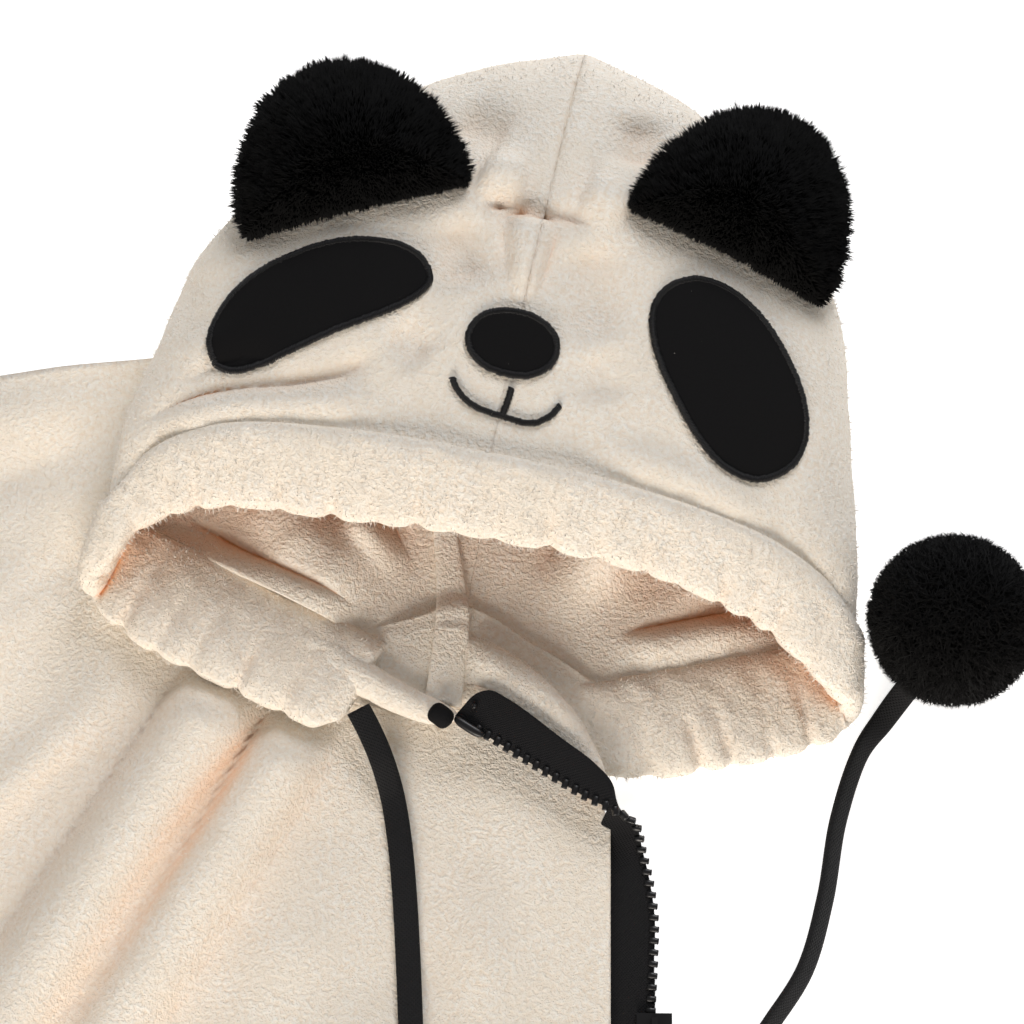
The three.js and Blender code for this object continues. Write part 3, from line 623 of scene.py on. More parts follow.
def shell(middle, thickness, normals=None):
    """Points and faces of cloth of that thickness about a grid. Its first face is the outer."""
    rows, cols = middle.shape[:2]
    normals = grid_normals(middle) if normals is None else normals
    half = np.reshape(thickness, (*np.shape(thickness), 1)) / 2 * normals
    points = np.concatenate([(middle + half).reshape(-1, 3), (middle - half).reshape(-1, 3)])
    i, j = np.meshgrid(np.arange(rows - 1), np.arange(cols - 1), indexing="ij")
    a = (i * cols + j).ravel()
    upper = np.stack([a, a + cols, a + cols + 1, a + 1], axis=1)
    lower = upper[:, ::-1] + rows * cols
    border = np.concatenate([
        np.arange(cols - 1), (np.arange(rows - 1) + 1) * cols - 1,
        (rows - 1) * cols + np.arange(cols - 1, 0, -1), np.arange(rows - 1, 0, -1) * cols])
    after = np.roll(border, -1)
    under = rows * cols
    wall = np.stack([border, after, under + after, under + border], axis=1)
    faces = np.vstack([upper, lower, wall])
    return points, turned_out(points, faces)


CREASE_DEPTH = 1.8


def relief(x, y, creases):
    """Height from soft folds. Each: name, path, width, height, power, 2 for soft, 1 for sharp."""
    total = np.zeros(np.shape(x))
    for _, path, width, height, power in creases:
        line = route(path)(np.linspace(0, 1, 21))[:, :2]
        nearest = np.full(np.shape(x), 1e9)
        share = np.zeros(np.shape(x))
        for i, (a, b) in enumerate(zip(line[:-1], line[1:])):
            run = b - a
            k = np.clip(((x - a[0]) * run[0] + (y - a[1]) * run[1]) / (run @ run), 0, 1)
            away = np.hypot(x - a[0] - k * run[0], y - a[1] - k * run[1])
            share = np.where(away < nearest, (i + k) / 20, share)
            nearest = np.minimum(nearest, away)
        fade = smooth(share / 0.3) * smooth((1 - share) / 0.3)
        total += CREASE_DEPTH * height * fade * np.exp(-(nearest / width) ** power)
    return total


# %% [markdown]
# ## The cape
#
# The cape is two layers of fleece, folded at centre back. The upper one shows, and falls in
# folds that start tight under the hood and open out towards the hem. Its grid runs from the
# neck edge to the hem with most of its rows near the neck, where the cloth is seen best.

# %% The cape's two layers
NECK_EDGE = route([
    (-34, 70), (-46, 44), (-50, 14), (-42, -12), (-22, -26), (4, -32), (20, -38), (33, -46),
    (46, -59), (57, -74)])
NECK = np.array([10.0, -50.0, 0.0])
PLUMP_FOLDS = 0.6
HEM_RADIUS = 562
HEM_START = 186.8
HEM_SWEEP = 99

# Shallow waves and creases in the upper layer, beside the six large folds.
CAPE_CREASES = [
    ("crease between folds", [(-58, -70), (-72, -104), (-94, -167), (-118, -240)], 4, -2.2, 1.3),
    ("pulled to the lip", [(-88, -48), (-130, -110), (-190, -220)], 9, 2.0, 2),
    ("dip left of the roll", [(-92, -56), (-124, -130), (-166, -220)], 8, -1.4, 2),
    ("dip under the cheek", [(-122, -4), (-170, -52), (-260, -120)], 11, -1.6, 2),
    ("soft wave left", [(-118, -24), (-190, -90), (-300, -190)], 17, 4.5, 2),
    ("soft wave upper", [(-110, 28), (-160, 10), (-260, -30)], 13, 3.0, 2),
    ("back edge roll", [(-100, 52), (-180, 34), (-330, 8)], 12, 4.0, 2),
    ("wave beside the cord", [(-20, -92), (-36, -160), (-44, -260)], 14, 2.2, 2),
    ("wave under the cord", [(22, -88), (32, -150), (40, -260)], 13, 2.4, 2),
    ("crease under the lip", [(-28, -66), (-8, -74), (16, -70)], 5, -0.8, 1.5),
]


def cape_plan(u, v):
    start = NECK_EDGE(u)
    angle = np.radians(HEM_START + HEM_SWEEP * u)
    end = NECK + HEM_RADIUS * np.stack([np.cos(angle), np.sin(angle), 0 * angle], axis=-1)
    return mix(start, end, (v ** 1.35)[..., None])


def cape_layer(name, us, vs, height, node_name):
    u, v = np.meshgrid(us, vs, indexing="ij")
    middle = cape_plan(u, v)
    middle[..., 2] = height(middle[..., 0], middle[..., 1]) + FLEECE / 2
    points, faces = shell(middle, FLEECE, np.broadcast_to([0, 0, 1.0], middle.shape))
    piece = add_piece(name, points, faces, fleece)
    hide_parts(node_name)
    return piece, points, faces


def draped_height(x, y):
    free = 1 - near_front(x, y, REACH_UNDER)
    wave = relief(x, y, CAPE_CREASES)
    pile = 0.5 * waves(np.stack([x, y, 0 * x], axis=-1), 5, 34)
    sunk = fold_height(x, y) * (1 - near_front(x, y, REACH_OVER)) + 0.15
    return over_height(x, y, PLUMP_FOLDS) + np.maximum(wave + pile * 0.6, -sunk) * free


cape_left, _, _ = cape_layer("cape_left_under", np.linspace(0, 1, 60), np.linspace(0, 1, 50),
                             under_height, "cape_left")
near_v = np.linspace(0, 0.62, 128)
far_v = np.linspace(0.62, 1, 26)[1:]
cape_right, cape_points, cape_faces = cape_layer(
    "cape_right_upper", np.linspace(0, 1, 180), np.concatenate([near_v, far_v]),
    draped_height, "cape_right")

# %% [markdown]
# ### The turned-back corner
#
# The zip is open above the slider, so the top corner of the right front folds back over the
# neck. The cloth rolls round a soft edge and its free edge, sewn to the zip, comes to rest on
# the cape. A section of seven points is swept from the roll to the free edge.

# %% The corner of the right front, rolled back
ROLL_LINE = route([(-5, -26), (6, -27), (23, -33), (38, -43), (48, -54), (54, -66)])
FLAP_EDGE = route([(-4, -44), (8, -41), (23, -47), (37, -54), (46, -61), (51, -70)])
FLAP_TOP = 16.5
FLAP_SECTION = route([
    (0.95, 0, 0), (0.6, 0, 0), (0.2, 0, 0.08), (0, 0, 0.5), (0.15, 0, 0.88), (0.45, 0, 1),
    (1, 0, 0.86)])


def rolled_corner():
    u, v = np.meshgrid(np.linspace(0, 1, 70), np.linspace(0, 1, 64), indexing="ij")
    section = FLAP_SECTION(v)
    middle = mix(ROLL_LINE(u), FLAP_EDGE(u), section[..., :1])
    low = over_height(middle[..., 0], middle[..., 1]) + FLEECE / 2
    top = mix(low + 3.5, FLAP_TOP, smooth(u / 0.3))
    middle[..., 2] = mix(low, top, section[..., 2])
    puff = 0.5 * waves(middle, 17, 16) * smooth(section[..., 2])
    middle = middle + grid_normals(middle) * puff[..., None]
    points, faces = shell(middle, FLEECE * 0.9)
    return add_piece("cape_corner_turned_back", points, faces, fleece), points, faces


corner, corner_points, corner_faces = rolled_corner()

# %% [markdown]
# ## The hood's two panels
#
# The hood is two mirror-cut panels joined over the head. It lies on its back, so each panel
# comes up from the floor, turns over at the side and runs back over the top to the opening.
# The surface is built from meridians: each starts at the lip of the opening, rounds the side
# and ends at the neck. Its creases are small and were placed one by one: the dent across the
# crown, the pinch above the nose, the rolls along the cheeks, and more inside and behind.

# %% Meridians of the hood
SEAM_X = 0.0
TOP_SHARE = 0.45
TOP_ROUND = 2.4
UNDER_ROUND = 5
RIM_LIFT = 9
CASING_LIFT = 3

# Each row: where a meridian starts at the lip, where it turns under, where it meets the neck.
HOOD_RIGHT = [
    ((-106, -5, 31), (-111, -13, 26), (-16, -37, 10)),
    ((-99, 6, 39), (-112, 12, 25), (-13, -34, 9)),
    ((-84, 12, 45), (-107, 40, 25), (-10, -31, 8)),
    ((-64, 15, 49), (-103, 67, 24), (-8, -29, 7.4)),
    ((-47, 17, 51), (-91, 91, 23), (-6, -27, 7)),
    ((-30, 18, 53), (-69, 121, 20), (-4, -25.5, 6.9)),
    ((-14, 18, 54.5), (-37, 147, 17), (-2, -24.5, 6.9)),
    ((-0.15, 18, 55), (-0.15, 163, 14), (-0.15, -24, 6.9)),
]
HOOD_LEFT = [
    ((112, 1, 25), (117, -3, 16), (42, -35, 8)),
    ((103, 8, 33), (114.5, 13, 17), (35, -32, 8)),
    ((87, 13, 41), (109, 37, 18), (27, -29.5, 7.8)),
    ((67, 16, 47), (101.5, 66, 19), (19, -27.5, 7.4)),
    ((49, 17.5, 50.5), (93, 94, 19), (12, -26, 7.2)),
    ((31, 18, 53), (69, 125, 18), (7, -25, 7)),
    ((14, 18, 54.5), (36, 151, 16), (3, -24.3, 6.9)),
    ((0.15, 18, 55), (0.15, 163, 14), (0.15, -24, 6.9)),
]


def rest_height(x, y):
    on_folded_cape = smooth((20 - x) / 45) * smooth((120 - y) / 40)
    on_folds = RIM_LIFT * smooth((-12 - y) / 18) * smooth((-20 - x) / 25)
    by_casing = CASING_LIFT * smooth((2 - y) / 10) * smooth((x - 20) / 20)
    low = HOOD_WALL / 2 + 0.1
    return mix(low, low + 2 * OVER_REST, on_folded_cape) + on_folds + by_casing


def hood_panel(rows):
    lips, edges, necks = (route([row[i] for row in rows]) for i in range(3))

    def panel(u, v):
        u, v = np.broadcast_arrays(np.asarray(u, float), np.asarray(v, float))
        on_top = v < TOP_SHARE
        end = np.where(on_top[..., None], lips(u), necks(u))
        edge = edges(u)
        roundness = np.where(on_top, TOP_ROUND, UNDER_ROUND)
        turn = np.where(on_top, v / TOP_SHARE, (1 - v) / (1 - TOP_SHARE))
        angle = np.clip(turn, 0, 1) * np.pi / 2
        reach = np.sin(angle) ** (2 / roundness)
        rise = np.clip(np.cos(angle), 0, 1) ** (2 / roundness)
        place = mix(end, edge, reach[..., None])
        low = mix(rest_height(place[..., 0], place[..., 1]), end[..., 2], smooth(1 - reach))
        high = np.where(on_top, end[..., 2], low)
        place[..., 2] = mix(edge[..., 2], high, rise)
        return place

    return panel


hood_right_at = hood_panel(HOOD_RIGHT)
hood_left_at = hood_panel(HOOD_LEFT)

# %% Creases of the face, the inside and the back
FACE_CREASES = [
    ("centre seam", [(0, 172), (0, 134), (0.5, 98)], 1.4, -0.9, 1.3),
    ("dent across the crown", [(-25, 98), (-14, 98.5), (-4, 97.5), (6, 98.5), (20, 96)], 2.2, -3.0, 1.2),
    ("puff above the dent, right", [(-22, 108), (-15, 107), (-7, 107)], 7.5, 3.0, 2),
    ("puff above the dent, left", [(10, 108), (17, 107), (25, 104)], 8, 2.6, 2),
    ("hollow beside the pinch, right", [(-28, 92), (-22, 80), (-17, 68)], 8, -2.6, 2),
    ("hollow beside the pinch, left", [(13, 92), (19, 80), (24, 58)], 9, -2.6, 2),
    ("hollow in the crown, right", [(-34, 128), (-24, 124), (-14, 122)], 8, -2.4, 2),
    ("hollow in the crown, left", [(22, 140), (23, 130), (24, 118)], 7.5, -2.8, 2),
    ("pinch above the nose", [(-6, 98), (-3, 86), (-1, 66)], 5, 2.4, 2),
    ("pinch edge, right", [(-13, 97), (-9, 86), (-4, 68)], 2.2, -1.1, 1.5),
    ("pinch edge, left", [(6, 97), (4, 86), (3, 68)], 2.0, -1.2, 1.5),
    ("cheek crease, right", [(-112, 8), (-90, 22), (-63, 30), (-46, 38), (-40, 48)], 3.2, -1.9, 1.4),
    ("cheek roll, right", [(-104, 8), (-81, 19), (-60, 24), (-24, 28)], 5.5, 1.7, 2),
    ("second cheek crease, right", [(-100, 24), (-84, 33), (-66, 37)], 3, -1.0, 1.5),
    ("dip beside the mouth", [(-38, 54), (-30, 49), (-24, 44)], 7, -1.5, 2),
    ("dip beside the nose", [(22, 58), (27, 50), (30, 42)], 8, -1.2, 2),
    ("cheek roll, left", [(24, 27), (60, 25), (92, 16)], 6, 1.5, 2),
    ("temple dip, left", [(98, 60), (103, 40), (108, 20)], 8, -1.0, 2),
    ("brow dip, right", [(-100, 66), (-96, 50), (-92, 38)], 8, -1.2, 2),
]
INSIDE_CREASES = [
    ("pouch", [(-74, 2), (-56, -6), (-42, -14), (-26, -24), (-16, -34)], 15, 5.5, 2),
    ("pouch fold", [(-46, 9), (-36, 0), (-25, -9), (-16, -20), (-10, -34)], 4.5, 3.5, 2),
    ("gap beside the band", [(-34, 12), (-24, 1), (-16, -9), (-10, -24), (-8, -40)], 2.2, -4.0, 1.3),
    ("panel fold", [(44, 22), (36, 6), (29, -8), (24, -22)], 9, 6.5, 2),
    ("gap beside the panel fold", [(30, 22), (22, 6), (16, -8), (14, -22)], 3.0, -2.0, 1.4),
    ("soft ridge by the left lip", [(94, -2), (72, -12), (54, -20), (42, -28)], 6, 2.0, 2),
    ("soft ridge by the right lip", [(-92, -14), (-70, -22), (-48, -28), (-26, -32)], 7, 1.6, 2),
    ("hem seam, right", [(-94, -6), (-72, -14), (-50, -20), (-28, -26)], 1.6, -1.6, 1.4),
    ("hem seam, left", [(98, 8), (78, -2), (60, -10), (46, -17)], 1.6, -1.6, 1.4),
    ("slack, right", [(-86, 24), (-70, 10), (-56, -8)], 12, 2.4, 2),
    ("slack, left", [(60, 30), (66, 10), (74, -4)], 12, 2.0, 2),
]
SEAM_DIVE = 1.5
PANEL_ROWS = 130
PANEL_COLS = 170


def even_columns(panel, count):
    """Shares v at which the panel's average meridian has even steps."""
    fine = np.linspace(0, 1, 3000)
    run = np.zeros(len(fine))
    for u in (0.2, 0.5, 0.8):
        line = panel(np.full(len(fine), u), fine)
        run[1:] += np.cumsum(np.linalg.norm(np.diff(line, axis=0), axis=1))
    return np.interp(np.linspace(0, run[-1], count), run, fine)


def hood_side(name, panel, sign):
    us = np.linspace(0, 1, PANEL_ROWS)
    vs = even_columns(panel, PANEL_COLS)
    u, v = np.meshgrid(us, vs, indexing="ij")
    middle = panel(u, v)
    normals = grid_normals(middle)
    if normals[PANEL_ROWS // 2, 10, 2] < 0:
        normals = -normals
    normals[-1, :, 0] = 0
    normals = unit(normals)
    x, y = middle[..., 0], middle[..., 1]
    top = smooth((TOP_SHARE - v) / 0.08)
    inside = smooth((v - TOP_SHARE - 0.02) / 0.08) * smooth((1 - v) / 0.02)
    seam = smooth((middle[..., 0] * sign) / 3.0)
    pile = 0.35 * waves(middle, 21, 23) * np.minimum(1, seam + 0.2)
    face = relief(x, y, FACE_CREASES) - SEAM_DIVE * np.exp(-(v / 0.035) ** 2)
    middle = middle + normals * ((face * top) + pile)[..., None]
    middle[..., 2] += np.maximum(relief(x, y, INSIDE_CREASES), -1.2) * inside
    middle[..., 0] = np.where(u == 1, sign * SEAM_X, middle[..., 0])
    out = grid_normals(middle)
    out[-1, :, 0] = 0
    points, faces = shell(middle, HOOD_WALL, unit(out))
    points[:, 0] = sign * np.maximum(points[:, 0] * sign, SEAM_X)
    walls = 2 * (PANEL_ROWS - 1) + 2 * (PANEL_COLS - 1)
    piece = add_piece(name, points, faces, fleece, flat_last=walls)
    return piece, points, faces


hood_right, right_points, right_faces = hood_side("hood_panel_right", hood_right_at, -1)
hood_left, left_points, left_faces = hood_side("hood_panel_left", hood_left_at, 1)
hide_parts("hood_right")
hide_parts("hood_left")

# %% [markdown]
# ## The gathered hem round the opening
#
# The edge of the hood is turned in and stitched down to make a soft channel for the draw
# cord. Pulled up, the channel bunches: puffs 9 to 17 mm long with dips between them, most
# of all along its free edge, while the sewn edge stays quieter. The hem is a flattened tube
# swept along the seam, and the puffs are uneven on purpose.

# %% The hem as a gathered tube
CASING_THICK = 6.5
CASING_CUT = 2.2
CASING_LAP = 2.2
HEM_CORNER = 9.0


def under_at(share):
    """The place on a panel's underside at a share of the way from the neck to the fold."""
    return 1 - (1 - TOP_SHARE) * math.asin(share ** (UNDER_ROUND / 2)) * 2 / math.pi


CASING = [
    (hood_right_at, (0, under_at(0.05)), (-9, -27, 3)),
    (hood_right_at, (0, under_at(0.35)), (-8, -28, 3)),
    (hood_right_at, (0, under_at(0.68)), (-9, -28, 2)),
    (hood_right_at, (0, under_at(0.85)), (-8, -25, 0)),
    (hood_right_at, (0, under_at(0.96)), (-5, -22, -2)),
    (hood_right_at, (0, 0.45), (-2, -19, -4)),
    (hood_right_at, (0, 0.2), (1, -18, -6)),
    (hood_right_at, (0.08, 0), (2, -17, -7)),
    (hood_right_at, (0.3, 0), (3, -18, -9)),
    (hood_right_at, (0.6, 0), (3, -20, -9)),
    (hood_right_at, (0.97, 0), (1, -18.5, -8.5)),
    (hood_left_at, (0.6, 0), (3, -17.5, -8.5)),
    (hood_left_at, (0.3, 0), (-1, -19, -8)),
    (hood_left_at, (0.1, 0), (-3, -19, -5)),
    (hood_left_at, (0, 0.2), (-1, -18, -4)),
    (hood_left_at, (0, 0.45), (3, -18, -3)),
    (hood_left_at, (0, under_at(0.96)), (7, -20, -1.2)),
    (hood_left_at, (0, under_at(0.85)), (11, -23, -1.6)),
    (hood_left_at, (0, under_at(0.64)), (12, -25, -1.6)),
    (hood_left_at, (0, under_at(0.4)), (14, -24, -2.4)),
    (hood_left_at, (0, under_at(0.18)), (13, -24, -2.4)),
    (hood_left_at, (0, under_at(0.05)), (9, -22, -2.4)),
]
# The hem's left end runs on a little way under the turned-back corner.
HEM_TUCK = ((33, -36, 8), (10, -20, -2.4))
casing_seam = route([tuple(panel(*at)) for panel, at, _ in CASING] + [HEM_TUCK[0]])
casing_reach = route([reach for _, _, reach in CASING] + [HEM_TUCK[1]])
CASING_RINGS = 620
CASING_SIDES = 44


def gathers(run, seed, spacing=(9, 17), depth=(0.4, 1.0)):
    """Dips between puffs along a run in mm: 0 on a puff and up to 1 in a dip."""
    rng = np.random.default_rng(seed)
    total = np.zeros(np.shape(run))
    place = 3.0
    while place < np.max(run):
        width = rng.uniform(1.8, 3.4)
        total += rng.uniform(*depth) * np.exp(-((run - place) / width) ** 2)
        place += rng.uniform(*spacing)
    return total


def casing_tube():
    k = np.linspace(0, 1, CASING_RINGS)
    seam = casing_seam(k)
    reach = casing_reach(k)
    width = np.linalg.norm(reach, axis=1)
    out = unit(reach)
    along = unit(casing_seam(k + 1e-3) - casing_seam(k - 1e-3))
    up = unit(np.cross(out, along))
    run = np.concatenate([[0], np.cumsum(np.linalg.norm(np.diff(seam, axis=0), axis=1))])
    dip = gathers(run, 7)
    slim = np.ones(len(run))
    for panel in (hood_right_at, hood_left_at):
        from_corner = np.linalg.norm(seam - panel(0, TOP_SHARE), axis=1)
        dip = dip * (1 - 0.85 * np.exp(-(from_corner / 16) ** 2))
        slim = slim * (1 - 0.15 * np.exp(-(from_corner / 14) ** 2))
    dip, slim = dip[:, None], slim[:, None]
    turn = np.linspace(0, 2 * np.pi, CASING_SIDES, endpoint=False)
    flat = np.sign(np.cos(turn)) * np.abs(np.cos(turn)) ** 0.7
    thick = np.sign(np.sin(turn)) * np.abs(np.sin(turn)) ** 0.66
    free_edge = smooth((flat[None] + 0.4) / 1.3)
    ends = np.minimum(1, np.minimum(run, run[-1] - run) / 3.0)
    round_end = np.sqrt(1 - (1 - np.clip(ends, 0, 1)) ** 2)[:, None]
    full = CASING_CUT + HOOD_WALL / 2 + width[:, None]
    near_end = np.minimum(run, run[-1] - run)[:, None]
    corner = 1 - np.sqrt(1 - np.clip(1 - near_end / HEM_CORNER, 0, 1) ** 2)
    full = full - HEM_CORNER * corner
    reach_out = mix(-CASING_LAP, full, (1 + flat[None]) / 2)
    reach_out = reach_out - 1.9 * dip * free_edge * round_end
    plump = 1.6 + 0.15 * (1 - dip) * free_edge - 0.55 * dip * (0.06 + free_edge)
    lift = thick[None] * CASING_THICK / 2 * plump * slim * np.maximum(round_end, 0.05)
    rings = seam[:, None] + out[:, None] * reach_out[..., None] + up[:, None] * lift[..., None]
    wobble = 0.45 * waves(rings, 31, 11)
    rings = rings + up[:, None] * (wobble * np.sign(thick)[None] * round_end)[..., None]
    rings[..., 2] = np.maximum(rings[..., 2], 0.25)
    return rings, run


casing_rings, casing_run = casing_tube()
casing_points, casing_faces = tube(casing_rings)
hood_casing = add_piece("hood_drawcord_hem", casing_points, casing_faces, fleece)
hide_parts("hood_casing")
print("hem, mm:", round(casing_run[-1]))

# %% [markdown]
# ## Laying things on the cloth
#
# Patches, ears and stitches sit on the finished cloth with all its creases. A ray dropped
# from above finds the cloth under a place in plan and which way it faces there.

# %% Drop a point onto the cloth
def tree_of(*parts):
    points = np.vstack([p for p, _ in parts])
    offsets = np.cumsum([0] + [len(p) for p, _ in parts])
    polygons = [f + o for (_, faces), o in zip(parts, offsets)
                for f in (faces if isinstance(faces, list) else [faces])]
    return BVHTree.FromPolygons(points.tolist(), [row for f in polygons for row in f.tolist()])


hood_tree = tree_of((right_points, right_faces), (left_points, left_faces))


def drop(tree, x, y, start=90.0):
    """The first place met by a point falling at x, y, and the direction away from the cloth."""
    for aside in (0, 0.1, -0.1):
        hit, normal, _, _ = tree.ray_cast(Vector((x + aside, y, start)), Vector((0, 0, -1)))
        if hit is not None:
            break
    else:
        return None, None
    normal = normal if normal.z > 0 else -normal
    return np.array(hit), np.array(normal)


def lay_on(tree, plan, lift, start=90.0):
    """Places and normals on the cloth under a list of plan points, moved out by lift."""
    found = [drop(tree, x, y, start) for x, y in plan]
    good = [(h, n) for h, n in found if h is not None]
    places = np.array([h for h, _ in good])
    normals = unit(np.array([n for _, n in good]))
    return places + normals * lift, normals


# %% [markdown]
# ### The band inside the hood
#
# The seam at the back of the hood is covered inside by a narrow band of the same fleece, which
# runs from under the face down to the neck. It is a soft strip laid on the inside of the hood,
# found by rays that start between the hood's two layers.

# %% The band over the centre back seam
BAND_LEFT = route([(-18, 13), (-16, 7), (-12, -6), (-8, -24), (-6, -49)])
BAND_RIGHT = route([(-11, 15), (-9, 9), (-4, -4), (2, -21), (5.5, -49)])
BAND_THICK = 2.6
INSIDE = 30.0
NECK_HIGH = 8.6
BAND_OVER_NECK = 3.2


def inside_height(place):
    hit, _ = drop(hood_tree, place[0], place[1], INSIDE)
    return hit[2] if hit is not None else NECK_HIGH


def covering_band():
    k = np.linspace(0, 1, 90)
    left, right = BAND_LEFT(k), BAND_RIGHT(k)
    turn = np.linspace(0, 2 * np.pi, 26, endpoint=False)
    across = (1 - np.sign(np.cos(turn)) * np.abs(np.cos(turn)) ** 0.6) / 2
    rise = (np.sign(np.sin(turn)) * np.abs(np.sin(turn)) ** 0.7 + 0.6) * BAND_THICK / 2
    base = np.array([[inside_height(mix(a, b, share)) for share in (0, 0.5, 1)]
                     for a, b in zip(left, right)])
    base = base + BAND_OVER_NECK * smooth((-14 - left[:, 1:2]) / 8)
    low = (base[:, :1] * (1 - across) * (1 - 2 * across) + base[:, 1:2] * 4 * across * (1 - across)
           + base[:, 2:] * across * (2 * across - 1))
    rings = left[:, None] + (right - left)[:, None] * across[None, :, None]
    rings[..., 2] = low + rise
    points, faces = tube(rings)
    return add_piece("hood_centre_band", points, faces, fleece)


centre_band = covering_band()

# %% [markdown]
# ### The neck seam
#
# Hood and cape meet in a seam that the turned-back corner lies over. A short strip of fleece
# closes the way between them, and beside it the end of the lower lip narrows into a soft roll
# that ends at the top of the zip.

# %% The neck strip and the roll at the end of the lip
NECK_FROM = [(-36, -34), (-15, -24), (-3, -17), (8, -18.5), (20, -23.5), (33, -28), (47, -34)]
NECK_TO = route([(-32, -54, 8), (-8, -52, 9), (8, -46, 8.6), (22, -46, 9), (36, -53, 9.6),
                 (48, -63, 9.6)])
ROLL_AT_LIP = route([(-46, -39, 12.5), (-34, -43.5, 13), (-22, -47.5, 13), (-12, -50.3, 12.6),
                     (-3, -51.8, 12.6), (5, -52, 12.4)])


def neck_strip():
    u, v = np.meshgrid(np.linspace(0, 1, 60), np.linspace(0, 1, 30), indexing="ij")
    start = route([(x, y, inside_height((x, y)) + 0.9) for x, y in NECK_FROM])
    middle = mix(start(u), NECK_TO(u), v[..., None])
    middle[..., 2] += (1.4 * np.sin(np.pi * v) + 0.4 * waves(middle, 41, 14)) * smooth(v / 0.2)
    points, faces = shell(middle, FLEECE)
    return add_piece("neck_seam_strip", points, faces, fleece)


def lip_roll():
    places, along = even_steps(ROLL_AT_LIP, 0.7)
    share = np.linspace(0, 1, len(places))
    radius = 6.6 * (1 - 0.42 * share) * np.sqrt(1 - np.clip((share - 0.82) / 0.18, 0, 0.97) ** 2)
    across = unit(np.cross(np.array([0, 0, 1.0]), along))
    up = np.cross(along, across)
    turn = np.linspace(0, 2 * np.pi, 28, endpoint=False)
    rings = (places[:, None] + across[:, None] * (np.cos(turn)[:, None] * radius[:, None, None])
             + up[:, None] * (np.sin(turn)[:, None] * radius[:, None, None] * 0.75))
    rings = rings + up[:, None] * (0.3 * waves(rings, 43, 9))[..., None]
    points, faces = tube(rings)
    return add_piece("neck_lip_roll", points, faces, fleece)


neck_pieces = [neck_strip(), lip_roll()]

# %% [markdown]
# ## Appliqué patches and nose
#
# The eye patches and the nose are cut from thin black twill and sewn down with a narrow satin
# stitch, which makes a raised cord of thread along the edge. The patch is laid on the cloth
# point by point. The satin stitch is a real row of thread loops across the edge, two to the
# millimetre, because that is what makes the outline slightly toothed.

# %% A row of satin stitches
def satin(line, normals, width, pitch, height, seed):
    """Thread loops across a line on the cloth: points and faces."""
    rng = np.random.default_rng(seed)
    along = unit(np.gradient(line, axis=0))
    across = unit(np.cross(normals, along))
    lean = unit(across + 0.18 * along)
    wide = width * (1 + rng.uniform(-0.09, 0.09, len(line)))
    shift = rng.uniform(-0.08, 0.08, len(line)) * width
    arc = np.linspace(0, np.pi, 6)
    sides = np.linspace(0, 2 * np.pi, 5, endpoint=False)
    thread = pitch * 1.2
    rings = []
    for angle in arc:
        middle = (line + lean * (shift - np.cos(angle) * wide / 2)[:, None]
                  + normals * (math.sin(angle) * height))
        out = unit(lean * -math.cos(angle) * 0.7 + normals * (0.3 + math.sin(angle)))
        ring = [middle + (out * math.cos(t) + along * math.sin(t)) * thread / 2 * (
            0.55 if angle in (arc[0], arc[-1]) else 1.0) for t in sides]
        rings.append(np.stack(ring, axis=1))
    loops = np.stack(rings, axis=1)
    count, steps, size = loops.shape[:3]
    points = loops.reshape(-1, 3)
    i, j = np.meshgrid(np.arange(steps - 1), np.arange(size), indexing="ij")
    a = (i * size + j).ravel()
    b = (i * size + (j + 1) % size).ravel()
    one = np.stack([a, b, b + size, a + size], axis=1)
    shift_by = np.arange(count)[:, None, None] * steps * size
    faces = (one[None] + shift_by).reshape(-1, 4)
    cap = np.array([np.arange(size)[::-1], (steps - 1) * size + np.arange(size)])
    caps = (cap[None] + shift_by).reshape(-1, size)
    return points, [faces, caps]


# %% Patches with their satin edge
APPLIQUE = 1.1
# Each patch: its middle, angle, half length, half width, bend, fullness and roundness.
PATCHES = [
    ("eye_patch_right", (-61.4, 56.3), 34, 35.2, 14.6, 6.5, -0.03, 0.84),
    ("eye_patch_left", (64.4, 59.4), 128.5, 33.0, 18.8, -1.5, -0.03, 0.87),
    ("nose", (-0.6, 54.5), -3, 13.8, 10.3, 0, 0, 0.94),
]


def bluntly(value, power):
    return np.sign(value) * np.abs(value) ** power


def bean(middle, angle, length, width, bend, fuller, round_by, count):
    turn = math.radians(angle)
    t = np.linspace(0, 2 * np.pi, count, endpoint=False)
    along = length * bluntly(np.cos(t), round_by)
    across = (width * bluntly(np.sin(t), round_by) * (1 + fuller * np.cos(t))
              + bend * (0.5 - (along / length) ** 2))
    return np.stack([
        middle[0] + along * math.cos(turn) - across * math.sin(turn),
        middle[1] + along * math.sin(turn) + across * math.cos(turn)], axis=1)


